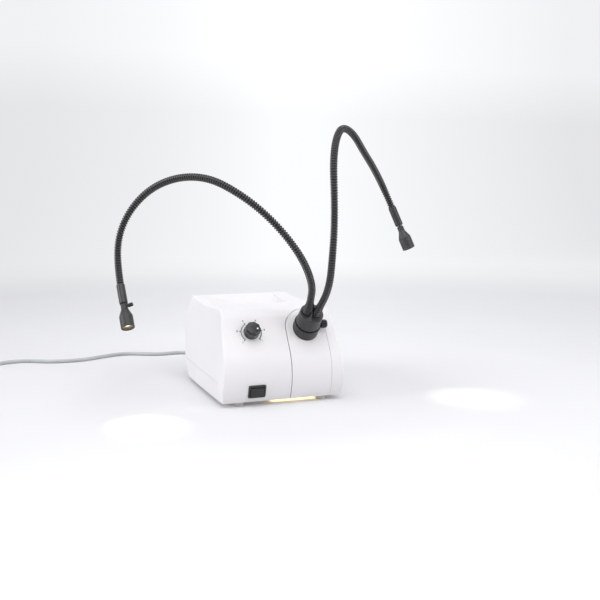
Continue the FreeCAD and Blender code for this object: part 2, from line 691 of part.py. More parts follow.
def base_pan():
    region = made("base_region", base_region(s.seam_gap))
    skin = common("base_skin", [shell, region])
    runners = [
        block(f"runner_{number}",
              ("runner_width", "tray_depth", "tray_level - foot_height - wall_thick - runner_play"),
              (f"drawer_middle + {way} * runner_spread - runner_width / 2", "lip_start + 2 * seam_gap",
               "foot_height + wall_thick"))
        for number, way in enumerate((-1, 1))
    ]
    vents = [
        block(f"vent_{number}", ("vent_width", "vent_length", "3 * wall_thick"),
              (f"vent_middle + ({number} - (vent_count - 1) / 2) * vent_pitch - vent_width / 2",
               "vent_start", "foot_height - wall_thick"))
        for number in range(int(s.vent_count))
    ]
    stems = four(
        "stem_hole",
        lambda n, x, y: cylinder(n, "stem_radius + screw_play", "foot_height + 2 * wall_thick", 0, x, y),
        "foot_side", "foot_front", "foot_rear")
    screws = four(
        "screw_hole",
        lambda n, x, y: cylinder(n, "screw_radius + screw_play", "3 * wall_thick", "foot_height - wall_thick", x, y),
        "post_side", "post_front", "post_rear")
    slotted = cut("base_slotted", skin, vents)
    keep(cut("base", fused("base_body", [slotted] + runners), stems + screws), "base_pan")


def feet_and_screws():
    def foot(name, x, y):
        pad = cylinder(name, "foot_radius", "foot_height", 0, x, y)
        stem = cylinder(name + "_stem", "stem_radius", "foot_height + wall_thick + pad_thick / 2", 0, x, y)
        return fused(name + "_whole", [pad, stem])

    def screw(name, x, y):
        head = cylinder(name, "screw_head_radius", "screw_head_height", "foot_height - screw_head_height", x, y)
        shank = cylinder(name + "_shank", "screw_radius", "screw_length - screw_head_height - 1",
                         "foot_height - screw_head_height", x, y)
        return fused(name + "_whole", [head, shank])

    keep(grouped("feet", four("foot", foot, "foot_side", "foot_front", "foot_rear")), "rubber_feet")
    keep(grouped("screws", four("screw", screw, "post_side", "post_front", "post_rear")), "housing_screws")


# ---------------------------------------------------------------- lamp drawer

def lamp_door(skin):
    outline = made("door_outline", arch_prism(0, 0))
    panel = common("door_panel", [skin, outline])
    lugs = [
        cylinder(f"lug_{number}", "lug_radius", "2 * belly_depth", "-2 * belly_depth",
                 frame=at((s.drawer_middle + way * s.lug_spread, s.lip_start + s.seam_gap, s.lug_height), (0, 1, 0)))
        for number, way in enumerate((-1, 1))
    ]
    inner_lugs = common("door_lugs", [outside, fused("door_lug_rods", lugs)])
    hole = cylinder("neck_hole", "collar_neck + screw_play", "6 * wall_thick", "-4 * wall_thick", frame=port)
    keep(cut("door", fused("door_body", [panel, inner_lugs]), [hole]), "lamp_door")


def lamp_tray():
    """A folded sheet: a floor, and a flange that the door's lugs are screwed to."""
    front = "lip_start + seam_gap"
    floor = block("tray_floor", ("2 * optic_half", "tray_depth", "sheet_thick"),
                  ("drawer_middle - optic_half", front, "tray_level"))
    flange = block("tray_flange", ("2 * optic_half", "sheet_thick", "lug_height + lug_radius + 2 - tray_level"),
                   ("drawer_middle - optic_half", front, "tray_level"))
    keep(fused("tray", [floor, flange]), "lamp_drawer")


def lamp_bracket():
    """Two cheeks on the tray, and between them a plate across the port's axis that holds the lamp."""
    down = spot(-port_way.y, -port_way.z)
    along = spot(-down.z, down.y)
    middle = port.Base + down * s.carrier_place
    low = middle - along * s.optic_half
    high = middle + along * s.optic_half
    step = down * s.sheet_thick
    foot_front = s.seam_front + s.lip_start
    foot_rear = s.tray_depth - s.lip_start
    rise = s.tray_level + s.sheet_thick
    cheek = [
        spot(low.y, low.z), spot(high.y, high.z), spot(foot_rear, high.z), spot(foot_rear, rise),
        spot(foot_front, rise), spot(foot_front, low.z - s.optic_half),
    ]
    sides = []
    starts = (s.drawer_middle - s.optic_half, s.drawer_middle + s.optic_half - s.sheet_thick)
    for number, start in enumerate(starts):
        prism = polygon_prism([point + Vector(start, 0, 0) for point in cheek], s.sheet_thick, (1, 0, 0))
        sides.append(made(f"cheek_{number}", prism))
    lamp_plate = [low, high, high + step, low + step]
    left_end = Vector(s.drawer_middle - s.optic_half - low.x, 0, 0)
    outline = [point + left_end for point in lamp_plate]
    plate = made("lamp_plate", polygon_prism(outline, 2 * s.optic_half, (1, 0, 0)))
    socket_plate = centred("socket_plate", "2 * optic_half", "socket_width", "sheet_thick",
                           "-carrier_place - reflector_depth - 2 * socket_width - 2 * sheet_thick", port)
    window = cylinder("lamp_window", "filter_radius - 1", "6 * sheet_thick",
                      "-carrier_place - 4 * sheet_thick", frame=port)
    keep(cut("bracket", fused("bracket_body", sides + [plate, socket_plate]), [window]), "lamp_bracket")


def lamp():
    """The reflector lamp behind the plate, its capsule, its socket, and the heat filter in front of it."""
    mouth = "-carrier_place - sheet_thick"
    reflector = turned("reflector", [
        ("reflector_radius", 0), ("reflector_radius", "-2 * sheet_thick"), ("lamp_neck_radius", "-reflector_depth"),
        ("lamp_neck_radius", "-reflector_depth - socket_width"),
        ("capsule_radius + 0.5", "-reflector_depth - socket_width"),
        ("capsule_radius + 0.5", "-reflector_depth + sheet_thick"),
        ("reflector_radius - 1.5 * sheet_thick", "-2 * sheet_thick"), ("reflector_radius - 1.5 * sheet_thick", 0),
    ])
    reflector.Placement = port * Placement(Vector(0, 0, worth(mouth)), Rotation())
    keep(reflector, "lamp_reflector")
    capsule = cylinder("capsule", "capsule_radius", "capsule_length + socket_width",
                       "-carrier_place - sheet_thick - reflector_depth - socket_width", frame=port)
    keep(capsule, "lamp_capsule")
    socket = centred("socket", "socket_width + 2 * sheet_thick", "socket_width", "socket_width",
                     "-carrier_place - reflector_depth - 2 * socket_width - sheet_thick", port)
    keep(socket, "lamp_socket")
    glass = cylinder("filter_glass", "filter_radius", "filter_thick", "-carrier_place", frame=port)
    keep(glass, "heat_filter")
    ring = cylinder("filter_ring", "holder_radius", "filter_thick + sheet_thick", "-carrier_place", frame=port)
    bore = cylinder("filter_bore", "filter_radius + screw_play", "filter_thick", "-carrier_place", frame=port)
    mouth_bore = cylinder("filter_mouth", "filter_radius - sheet_thick", "3 * filter_thick",
                          "-carrier_place", frame=port)
    keep(cut("filter_holder_ring", ring, [bore, mouth_bore]), "filter_holder")


def light_port():
    """The collar on the door: its foot follows the skin, and its neck goes through to the inside."""
    collar = cylinder("collar", "collar_radius", "collar_height + collar_neck", "-collar_neck", frame=port)
    above = cut("collar_above", collar, [outside])
    neck = cylinder("collar_pipe", "collar_neck", "collar_height + collar_depth - 1", "-collar_depth", frame=port)
    bore = cylinder("collar_bore", "guide_radius + guide_play", "3 * collar_radius",
                    "-1.5 * collar_radius", frame=port)
    side = port * at((0, 0, s.clamp_height), (1, 0, 0), (0, 1, 0))
    thread = cylinder("clamp_hole", "clamp_radius + screw_play", "2 * collar_radius", 0, frame=side)
    keep(cut("port_ring", fused("port_body", [above, neck]), [bore, thread]), "port_collar")
    screw = cylinder("clamp_rod", "clamp_radius", "clamp_knob_start - guide_radius - guide_play",
                     "guide_radius + guide_play", frame=side)
    keep(screw, "clamp_screw")
    grip = cylinder("clamp_grip", "clamp_knob_radius", "clamp_knob_length", "clamp_knob_start", frame=side)
    flutes = []
    for number in range(12):
        turn = math.radians(30 * number)
        flute_x = s.clamp_knob_radius * math.cos(turn)
        flute_y = s.clamp_knob_radius * math.sin(turn)
        flutes.append(cylinder(f"clamp_flute_{number}", "thumb_radius / 2", "clamp_knob_length", "clamp_knob_start",
                               flute_x, flute_y, side))
    keep(cut("clamp_wheel", grip, flutes), "clamp_knob")


# ---------------------------------------------------------------- light guide

def stub_frame(way):
    """Frame of one stub, at its root on top of the branching piece; its Z axis leans out."""
    lean = math.radians(s.stub_tilt) * way
    top = s.collar_height + s.groove_height + s.branch_height
    return port * at((way * s.stub_spread, 0, top), (math.sin(lean), 0, math.cos(lean)))


def guide_entry():
    """The common end: ferrule with its dark groove, the branching piece, and the polished fibre face."""
    play = 0.3
    ferrule = turned("ferrule", [
        (0, "-collar_depth"), ("guide_radius", "-collar_depth"), ("guide_radius", f"collar_height + {play}"),
        ("groove_radius", f"collar_height + {play}"), ("groove_radius", "collar_height + groove_height"),
        (0, "collar_height + groove_height"),
    ])
    bore = cylinder("fibre_bore", "fibre_radius", "2 * collar_depth", "-2 * collar_depth")
    keep(placed(cut("guide_plug", ferrule, [bore]), port), "guide_ferrule")
    fibre = cylinder("fibre_face", "fibre_radius", "collar_depth", "-collar_depth", frame=port)
    keep(fibre, "fibre_input")
    base = "collar_height + groove_height"
    body = turned("branch_body", [
        (0, base), ("branch_base_radius", base), ("branch_base_radius", f"{base} + 2"),
        ("branch_radius", f"{base} + branch_height - 2"), ("branch_radius - 2", f"{base} + branch_height"),
        (0, f"{base} + branch_height"),
    ])
    body.Placement = port
    parts = [body]
    for number, way in enumerate((-1, 1)):
        root = stub_frame(way)
        sink = Placement(Vector(0, 0, -s.groove_height), Rotation())
        parts.append(cone(f"stub_{number}", "stub_root_radius", "stub_radius", "stub_length + groove_height",
                          0, root * sink))
    web = block("stub_web", ("2 * stub_spread", "groove_height", "stub_length * 0.7"),
                ("-stub_spread", "-groove_height / 2", f"{base} + branch_height - 1"), port)
    keep(fused("branching", parts + [web]), "y_connector")


def rounded_route(points, share=0.45):
    """Straight runs joined by tangent arcs, each as large as its two runs allow."""
    edges = []
    radii = []
    start = points[0]
    for before, corner, after in zip(points, points[1:], points[2:]):
        back = (before - corner).normalize()
        ahead = (after - corner).normalize()
        turn = math.pi - back.getAngle(ahead)
        trim = share * min((before - corner).Length, (after - corner).Length)
        radius = trim / math.tan(turn / 2)
        enter = corner + back * trim
        leave = corner + ahead * trim
        centre = corner + (back + ahead).normalize() * (trim / math.sin(turn / 2))
        middle = centre + (corner - centre).normalize() * radius
        edges.append(Part.LineSegment(start, enter).toShape())
        edges.append(Part.Arc(enter, middle, leave).toShape())
        radii.append(radius)
        start = leave
    edges.append(Part.LineSegment(start, points[-1]).toShape())
    return Part.Wire(edges), radii


def tube(name, points, radius):
    """A round tube along a route; it prints its radii and compares its volume with its length."""
    wire, radii = rounded_route(points)
    ring = Part.Wire(Part.makeCircle(radius, points[0], points[1] - points[0]))
    shape = wire.makePipeShell([ring], True, True)
    ratio = shape.Volume / (math.pi * radius ** 2 * wire.Length)
    print(f"{name}: length {wire.Length:.0f}, volume ratio {ratio:.5f}, radii",
          " ".join(f"{radius:.0f}" for radius in radii))
    return made(name, shape)


def arm(side, way, bends, head_gap, thumb):
    """One gooseneck with its sleeve, bright tip, and the lens head clamped on the tip."""
    mouth = (stub_frame(way) * Placement(Vector(0, 0, s.stub_length), Rotation())).Base
    points = [mouth] + [mouth + Vector(*bend) for bend in bends]
    end = points[-1]
    axis = (points[-1] - points[-2]).normalize()
    hose_end = end - axis * (s.sleeve_length - s.sleeve_grip)
    keep(tube(f"{side}_hose", points[:-1] + [hose_end], s.arm_radius), f"{side}_gooseneck")
    tip = at(end, axis, thumb)

    sleeve = turned(f"{side}_sleeve", [
        ("tip_radius", 0), ("sleeve_radius - 1", 0), ("sleeve_radius", -1), ("sleeve_radius", "-sleeve_length"),
        ("arm_radius + sleeve_play", "-sleeve_length"), ("arm_radius + sleeve_play", "sleeve_grip - sleeve_length"),
        ("tip_radius", "sleeve_grip - sleeve_length"),
    ])
    keep(placed(sleeve, tip), f"{side}_end_sleeve")
    ferrule = turned(f"{side}_tip", [
        ("bundle_radius", "sleeve_grip - sleeve_length"), ("tip_radius", "sleeve_grip - sleeve_length"),
        ("tip_radius", "tip_reach"), ("bundle_radius", "tip_reach"),
    ])
    keep(placed(ferrule, tip), f"{side}_tip_ferrule")
    fibre = cylinder(f"{side}_fibre", "bundle_radius", "tip_reach + sleeve_length - sleeve_grip",
                     "sleeve_grip - sleeve_length", frame=tip)
    keep(fibre, f"{side}_fibre_end")

    head = tip * Placement(Vector(0, 0, worth(head_gap)), Rotation())
    cone_end = "head_neck_length + head_cone_length"
    shoulder = "head_length - seat_depth"
    seat = "head_length - seat_depth - lens_play - lens_thick"
    shell_body = turned(f"{side}_head", [
        ("tip_radius + tip_play", 0), ("head_neck_radius - 0.4", 0), ("head_neck_radius", 0.4),
        ("head_neck_radius", "head_neck_length"), ("head_radius", cone_end), ("head_radius", "head_length"),
        ("head_radius - head_wall", "head_length"), ("head_radius - head_wall", shoulder),
        ("lens_radius", shoulder), ("lens_radius", seat), ("lens_radius - head_wall", seat),
        ("lens_radius - head_wall", cone_end),
        ("tip_radius + tip_play", "tip_reach + 1"),
    ])
    side_way = Placement(Vector(0, 0, s.thumb_height), Rotation(Vector(0, 1, 0), 90))
    hole = cylinder(f"{side}_thumb_hole", "thumb_radius + screw_play", "2 * head_neck_radius", 0, frame=side_way)
    keep(placed(cut(f"{side}_head_bored", shell_body, [hole]), head), f"{side}_lens_housing")
    lens = turned(f"{side}_glass", [
        (0, seat), ("lens_radius", seat), ("lens_radius", f"{seat} + 0.4 * lens_thick"),
        ("0.6 * lens_radius", f"{seat} + 0.85 * lens_thick"), (0, f"{seat} + lens_thick"),
    ])
    keep(placed(lens, head), f"{side}_lens")
    rod = cylinder(f"{side}_thumb_rod", "thumb_radius", "head_neck_radius + 1.5 - tip_radius - tip_play",
                   "tip_radius + tip_play", frame=head * side_way)
    knob = cylinder(f"{side}_thumb_head", "thumb_head_radius", "thumb_head_length", "head_neck_radius + 1",
                    frame=head * side_way)
    keep(fused(f"{side}_thumb", [rod, knob]), f"{side}_lens_screw")


# ---------------------------------------------------------------- dimmer and switch

def dimmer():
    knob = turned("knob_body", [
        (0, "knob_lift"), ("knob_radius", "knob_lift"), ("knob_radius - 0.6", "knob_lift + 0.7 * knob_height"),
        ("knob_radius - 3", "knob_lift + 0.95 * knob_height"), (0, "knob_lift + knob_height"),
    ])
    recess = cylinder("knob_recess", "nut_radius + 1", "nut_height + 1", 0)
    bore = cylinder("knob_bore", "spindle_radius", "0.7 * knob_height", 0)
    ribs = []
    rib_count = 24
    for number in range(rib_count):
        turn = 2 * math.pi * number / rib_count
        groove = cylinder(f"knob_groove_{number}", 0.5, "0.5 * knob_height", "knob_lift + 1",
                          s.knob_radius * math.cos(turn), s.knob_radius * math.sin(turn))
        ribs.append(groove)
    dot_turn = math.radians(s.dot_turn)
    dot_x = s.dot_offset * math.cos(dot_turn)
    dot_y = s.dot_offset * math.sin(dot_turn)
    pit = cylinder("dot_pit", "dot_radius", "knob_height", "knob_lift + 0.8 * knob_height", dot_x, dot_y)
    solid = fused("knob_tools", [recess, bore, pit] + ribs)
    keep(placed(cut("knob", knob, [solid]), dial), "dimmer_knob")
    dot = cylinder("dot", "dot_radius", "0.15 * knob_height", "knob_lift + 0.8 * knob_height", dot_x, dot_y, dial)
    keep(dot, "knob_dot")
    spindle = cylinder("spindle", "spindle_radius", "0.7 * knob_height + wall_thick + pot_depth / 2",
                       "-wall_thick - pot_depth / 2", frame=dial)
    keep(spindle, "dimmer_shaft")
    can = cylinder("pot_can", "pot_radius", "pot_depth", "-wall_thick - pot_depth", frame=dial)
    bushing = cylinder("pot_bushing", "bushing_radius", "wall_thick + nut_height", "-wall_thick", frame=dial)
    channel = cylinder("pot_bore", "spindle_radius + spindle_play", "2 * pot_depth",
                       "-wall_thick - pot_depth / 2", frame=dial)
    keep(cut("pot", fused("pot_body", [can, bushing]), [channel]), "potentiometer")
    nut = doc.addObject("Part::Prism", "nut_hexagon")
    nut.Polygon = 6
    bind(nut, {"Circumradius": "nut_radius", "Height": "nut_height - 0.2"})
    hole = cylinder("nut_bore", "bushing_radius", "2 * nut_height", "-nut_height / 2")
    keep(placed(cut("nut", nut, [hole]), dial), "dimmer_nut")


def rocker_switch():
    """A frame pressed into the front and a rocker that tilts about its middle."""
    bezel = centred("bezel", "bezel_width", "bezel_height", "bezel_thick", "0")
    trunk = centred("switch_trunk", "switch_width", "switch_tall", "switch_depth", "-switch_depth")
    well = centred("switch_well", "rocker_width + 1", "rocker_tall + 2", "switch_depth", "-rocker_thick - 1")
    pivot_level = "bezel_thick + 0.6 - rocker_thick / 2"
    across = at((-s.rocker_width / 2 - s.axle_stub, 0, worth(pivot_level)), (1, 0, 0), (0, 1, 0))
    axle_hole = cylinder("rocker_axle_hole", "axle_radius + spindle_play",
                         "rocker_width + 2 * (axle_stub + spindle_play)", "-spindle_play", frame=across)
    keep(placed(cut("switch_box", fused("switch_body", [bezel, trunk]), [well, axle_hole]), switch), "switch_frame")
    tilt = math.radians(s.rocker_tilt)
    half = s.rocker_tall / 2
    dip = half * math.tan(tilt)
    top = s.bezel_thick + 0.6
    corners = [
        (-s.rocker_width / 2, -half, top + 2 * dip), (-s.rocker_width / 2, 0, top),
        (-s.rocker_width / 2, half, top), (-s.rocker_width / 2, 0.5 * half, top - s.rocker_thick),
        (-s.rocker_width / 2, -0.5 * half, top - s.rocker_thick),
    ]
    wedge = made("rocker_wedge", polygon_prism(corners, s.rocker_width, (1, 0, 0)))
    axle = cylinder("rocker_axle", "axle_radius", "rocker_width + 2 * axle_stub", frame=across)
    keep(placed(fused("rocker", [wedge, axle]), switch), "switch_rocker")


# ---------------------------------------------------------------- rear panel, fan and inlet

def rear_panel():
    plate = block("panel_plate",
                  ("2 * (panel_half - screw_play)", "panel_thick", "panel_high - panel_low - 2 * screw_play"),
                  ("-panel_half + screw_play", "panel_face - panel_thick", "panel_low + screw_play"))
    tools = []
    rings = ((s.fan_hub_radius + 3, s.fan_duct_radius * 0.64), (s.fan_duct_radius * 0.72, s.fan_duct_radius - 1))
    for number, (inner, outer) in enumerate(rings):
        disc = cylinder(f"grille_disc_{number}", outer, "4 * panel_thick", "-panel_thick", frame=fan)
        core = cylinder(f"grille_core_{number}", inner, "4 * panel_thick", "-panel_thick", frame=fan)
        bars = [centred(f"grille_bar_{number}_{way}", *size, "4 * panel_thick", "-panel_thick", fan)
                for way, size in enumerate((("3", "fan_width"), ("fan_width", "3")))]
        tools.append(cut(f"grille_{number}", disc, [core] + bars))
    tools.append(centred("inlet_window", "inlet_width + 2 * screw_play", "inlet_tall + 2 * screw_play",
                         "4 * panel_thick", "-2 * panel_thick", inlet))
    tools += fan_corners("fan_screw_hole", "fan_bolt_radius + screw_play", "4 * panel_thick", "-panel_thick")
    tools += inlet_sides("inlet_screw_hole", "screw_radius + screw_play", "4 * panel_thick", "-2 * panel_thick")
    keep(cut("rear_plate", plate, tools), "rear_panel")


def fan_corners(name, radius, height, base):
    half = s.fan_bolt_pitch / 2
    return [cylinder(f"{name}_{number}", radius, height, base, x, y, fan)
            for number, (x, y) in enumerate(((half, half), (-half, half), (-half, -half), (half, -half)))]


def inlet_sides(name, radius, height, base):
    reach = "(inlet_width + inlet_flange_width) / 4"
    return [cylinder(f"{name}_{number}", radius, height, base, f"{way} * {reach}", 0, inlet)
            for number, way in enumerate((-1, 1))]


def cooling_fan():
    box = centred("fan_box", "fan_width", "fan_width", "fan_depth", "-fan_depth", fan)
    duct = cylinder("fan_duct", "fan_duct_radius", "fan_depth * 0.85", "-fan_depth * 0.8", frame=fan)
    inlet_duct = cylinder("fan_mouth", "fan_duct_radius", "fan_depth", "-fan_depth - 1", frame=fan)
    spider = centred("fan_spider", "2 * (fan_duct_radius + fan_gap)", "2 * fan_gap", "fan_gap", "-fan_gap", fan)
    boss = cylinder("fan_boss", "fan_hub_radius", "fan_gap", "-fan_gap", frame=fan)
    pin = cylinder("fan_pin", "spindle_radius / 2", "fan_depth - 2 * fan_gap", "-fan_depth + 2 * fan_gap", frame=fan)
    holes = fan_corners("fan_hole", "fan_bolt_radius + screw_play", "2 * fan_depth", "-1.5 * fan_depth")
    hollow = cut("fan_hollow", box, [duct, inlet_duct] + holes)
    keep(fused("fan_case", [hollow, spider, boss, pin]), "fan_frame")
    hub = cylinder("fan_hub", "fan_hub_radius - fan_gap / 2", "fan_depth - 3.5 * fan_gap",
                   "-fan_depth + fan_gap", frame=fan)
    blades = []
    for number in range(int(s.blade_count)):
        turn = Placement(Vector(), Rotation(Vector(0, 0, 1), 360 * number / s.blade_count))
        pitch = Placement(Vector(0, 0, -s.fan_depth / 2 - s.fan_gap), Rotation(Vector(1, 0, 0), 35))
        blades.append(block(f"blade_{number}",
                            ("fan_blade_reach - fan_hub_radius + 2 * fan_gap", "sheet_thick", "fan_depth * 0.6"),
                            ("fan_hub_radius - 2 * fan_gap", "-sheet_thick / 2", "-fan_depth * 0.3"),
                            fan * turn * pitch))
    bore = cylinder("hub_bore", "spindle_radius / 2 + spindle_play", "2 * fan_depth", "-1.5 * fan_depth", frame=fan)
    keep(cut("rotor", fused("rotor_body", [hub] + blades), [bore]), "fan_rotor")
    bolts = fan_corners("fan_bolt", "fan_bolt_radius", "panel_thick + fan_depth", "-fan_depth")
    heads = fan_corners("fan_bolt_head", "2 * fan_bolt_radius", "screw_head_height", "panel_thick")
    sides = inlet_sides("inlet_bolt", "screw_radius", "2 * panel_thick + inlet_flange_thick", "-2 * panel_thick")
    caps = inlet_sides("inlet_bolt_head", "screw_head_radius", "screw_head_height", "inlet_flange_thick")
    pairs = [fused(f"bolt_{number}", pair) for number, pair in enumerate(zip(bolts + sides, heads + caps))]
    keep(grouped("panel_bolts", pairs), "panel_screws")


def mains_inlet():
    trunk = centred("inlet_trunk", "inlet_width", "inlet_tall", "inlet_depth + inlet_flange_thick",
                    "-inlet_depth", inlet)
    flange = centred("inlet_flange", "inlet_flange_width", "inlet_flange_tall", "inlet_flange_thick", "0", inlet)
    mouth = centred("inlet_mouth", "coupler_width + 0.4", "coupler_tall + 0.4", "inlet_depth",
                    "inlet_flange_thick - coupler_nose - 1", inlet)
    holes = inlet_sides("inlet_hole", "screw_radius + screw_play", "4 * inlet_flange_thick", "-inlet_flange_thick")
    keep(cut("inlet_case", fused("inlet_body", [trunk, flange]), [mouth] + holes), "mains_inlet")


# ---------------------------------------------------------------- mains lead

def coupler():
    """The lead's coupler in the inlet, with its tapered strain relief."""
    nose = centred("coupler_front", "coupler_width", "coupler_tall", "coupler_nose",
                   "inlet_flange_thick - coupler_nose", inlet)
    grip = centred("coupler_body", "coupler_width + coupler_step", "coupler_tall + coupler_step", "coupler_grip",
                   "inlet_flange_thick", inlet)
    boot = cone("coupler_boot", "boot_radius", "boot_tip_radius", "boot_length",
                "inlet_flange_thick + coupler_grip", inlet)
    keep(fused("coupler", [nose, grip, boot]), "cord_connector")


def lead():
    boot_end = inlet * Vector(0, 0, s.inlet_flange_thick + s.coupler_grip + s.boot_length)
    drop = [boot_end] + [boot_end + Vector(*step) for step in LEAD_DROP]
    keep(tube("lead_tube", drop + [Vector(*point) for point in LEAD_ROUTE], s.lead_radius), "mains_lead")
    keep(tube("tail_tube", [Vector(*point) for point in TAIL_ROUTE], s.lead_radius), "lead_tail")
    keep(coil_ring("coil"), "lead_coil")
    wide = block("tie_outer", ("2 * (coil_spread + tie_thick)", "tie_width", "coil_rise + 2 * tie_thick"),
                 ("coil_x + coil_radius - coil_spread - tie_thick", "coil_y - tie_width / 2", 0))
    inner = block("tie_inner", ("2 * coil_spread", "2 * tie_width", "coil_rise"),
                  ("coil_x + coil_radius - coil_spread", "coil_y - tie_width", "tie_thick"))
    keep(cut("tie", wide, [inner, coil_ring("tie_seat")]), "lead_tie")


def coil_ring(name):
    """The outer shape of the coiled turns, which lie on their strap."""
    outer = cylinder(name + "_outer", "coil_radius + coil_spread", "coil_rise", "tie_thick", "coil_x", "coil_y")
    hole = cylinder(name + "_hole", "coil_radius - coil_spread", "2 * coil_rise", 0, "coil_x", "coil_y")
    return cut(name + "_turns", outer, [hole])


def mains_plug():
    tail = Vector(*TAIL_ROUTE[-1])
    frame = at(tail, (0, 1, 0))
    body = turned("plug_body", [
        (0, 0), ("boot_tip_radius", 0), ("boot_radius", "plug_length / 3"), ("plug_radius - 2", "plug_length / 2"),
        ("plug_radius", "plug_length / 2 + 3"), ("plug_radius", "plug_length"), (0, "plug_length"),
    ])
    keep(placed(body, frame), "mains_plug")
    pins = [cylinder(f"pin_{number}", "pin_radius", "pin_length", "plug_length", f"{way} * pin_pitch / 2", 0, frame)
            for number, way in enumerate((-1, 1))]
    keep(grouped("pins", pins), "plug_pins")


# ---------------------------------------------------------------- electronics

def transformer():
    x = "-transformer_side"
    y = "transformer_place"
    ring = cylinder("winding", "coil_ring_radius", "coil_ring_height", "foot_height + wall_thick + pad_thick", x, y)
    hole = cylinder("winding_hole", "coil_ring_bore", "2 * coil_ring_height", "foot_height", x, y)
    keep(cut("winding_ring", ring, [hole]), "transformer_coil")
    pad = cylinder("winding_pad", "coil_ring_radius", "pad_thick", "foot_height + wall_thick", x, y)
    rod = cylinder("winding_bolt", "bolt_radius", "coil_ring_height + 4 * pad_thick",
                   "foot_height + wall_thick", x, y)
    washer = cylinder("winding_washer", "washer_radius", "pad_thick",
                      "foot_height + wall_thick + pad_thick + coil_ring_height", x, y)
    keep(fused("transformer_mount", [pad, rod, washer]), "transformer_bolt")


def electronics():
    left = "-board_side - board_width / 2"
    front = "board_place - board_depth / 2"
    board = block("board", ("board_width", "board_depth", "board_thick"), (left, front, "board_level"))
    keep(board, "control_board")
    inset = "2 * spacer_radius"
    spacers = [
        cylinder(f"spacer_{number}", "spacer_radius", "board_level - foot_height - wall_thick",
                 "foot_height + wall_thick",
                 f"-board_side + {x} * (board_width / 2 - {inset})",
                 f"board_place + {y} * (board_depth / 2 - {inset})")
        for number, (x, y) in enumerate(((1, 1), (-1, 1), (-1, -1), (1, -1)))
    ]
    keep(grouped("spacers", spacers), "board_spacers")
    level = "board_level + board_thick"
    side = "-board_side - sink_width / 2"
    foot = block("sink_foot", ("sink_width", "sink_depth", "pad_thick"), (side, "board_place", level))
    step = "(sink_width - sheet_thick) / (sink_fins - 1)"
    fins = [
        block(f"fin_{number}", ("sheet_thick", "sink_depth", "sink_height"),
              (f"{side} + {number} * {step}", "board_place", level))
        for number in range(int(s.sink_fins))
    ]
    keep(fused("sink", [foot] + fins), "heat_sink")


def baffle():
    depth = "baffle_depth - 2 * lip_start - seam_front"
    upright = block("baffle_sheet", ("sheet_thick", depth, "baffle_height - foot_height - wall_thick"),
                    ("baffle_side", "seam_front + lip_start", "foot_height + wall_thick"))
    keep(upright, "lamp_baffle")


cover_skin = upper_cover()
base_pan()
feet_and_screws()
lamp_door(cover_skin)
lamp_tray()
lamp_bracket()
lamp()
light_port()
guide_entry()
arm("left", -1, LEFT_BENDS, "left_head_gap", LEFT_THUMB)
arm("right", 1, RIGHT_BENDS, "right_head_gap", RIGHT_THUMB)
dimmer()
rocker_switch()
rear_panel()
cooling_fan()
mains_inlet()
coupler()
lead()
mains_plug()
transformer()
electronics()
baffle()

doc.recompute()
for thing in doc.Objects:
    if "Invalid" in thing.State or "Error" in thing.State:
        raise RuntimeError(f"{thing.Name} failed: {thing.State}")
for piece in pieces:
    if piece.Shape.isNull() or not piece.Shape.isValid():
        raise RuntimeError(f"{piece.Label} has no valid shape")

LEAD = {"cord_connector", "mains_lead", "lead_tail", "lead_coil", "lead_tie", "mains_plug", "plug_pins"}
box = FreeCAD.BoundBox()
for piece in pieces:
    if piece.Label not in LEAD:
        box.add(piece.Shape.optimalBoundingBox())
shift = Vector(-box.Center.x, -box.Center.y, -box.ZMin)
print("box", box, "shift", shift)
os.makedirs("parts", exist_ok=True)
for piece in pieces:
    shape = piece.Shape.copy()
    shape.translate(shift)
    shape.exportStep(os.path.join("parts", piece.Label + ".step"))
print(len(pieces), "pieces")
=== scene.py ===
"""Fibre optic light source with a two-armed gooseneck light guide, on a pale bench.

Lengths are in millimetres until a piece is made; MM turns them into Blender's metres. Angles are
in degrees. An outline is a list of (radius, height) corners, and a third number rounds a corner.
"""
import json
import math
from math import cos, pi, radians, sin

import bpy
from mathutils import Matrix, Vector


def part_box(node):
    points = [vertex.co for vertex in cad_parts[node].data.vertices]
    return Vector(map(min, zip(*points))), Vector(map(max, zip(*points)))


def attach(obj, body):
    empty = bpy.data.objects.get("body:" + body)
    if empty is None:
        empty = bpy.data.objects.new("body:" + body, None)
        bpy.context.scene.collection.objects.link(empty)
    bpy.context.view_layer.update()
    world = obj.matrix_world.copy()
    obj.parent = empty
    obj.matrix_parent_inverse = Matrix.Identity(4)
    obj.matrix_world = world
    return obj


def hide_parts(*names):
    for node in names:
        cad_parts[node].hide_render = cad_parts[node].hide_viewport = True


MM = 0.001
# How far the casing's front bottom edge lies behind the foremost point of its belly.
BELLY_DEPTH = 11

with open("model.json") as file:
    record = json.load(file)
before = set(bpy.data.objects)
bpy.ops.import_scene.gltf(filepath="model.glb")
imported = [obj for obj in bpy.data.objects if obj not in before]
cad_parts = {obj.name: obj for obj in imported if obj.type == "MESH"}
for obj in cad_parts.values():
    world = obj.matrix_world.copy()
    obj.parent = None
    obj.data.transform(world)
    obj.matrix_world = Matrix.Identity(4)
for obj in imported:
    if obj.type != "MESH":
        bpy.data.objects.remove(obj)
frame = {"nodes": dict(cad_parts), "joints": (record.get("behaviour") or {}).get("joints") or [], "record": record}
nodes = frame["nodes"]
joints = {joint["name"]: joint for joint in frame["joints"]}
mounts = {mount["name"]: mount for mount in frame["record"]["mounts"]}
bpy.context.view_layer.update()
cover_low, cover_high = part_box("upper_cover")
HOME = Vector(((cover_low.x + cover_high.x) / 2, cover_low.y + BELLY_DEPTH * MM, 0))


def spot(x, y, z):
    """A point of the unit, from the middle of its front bottom edge, in the scene's metres."""
    return HOME + Vector((x, y, z)) * MM


def show(thing):
    bpy.context.scene.collection.objects.link(thing)


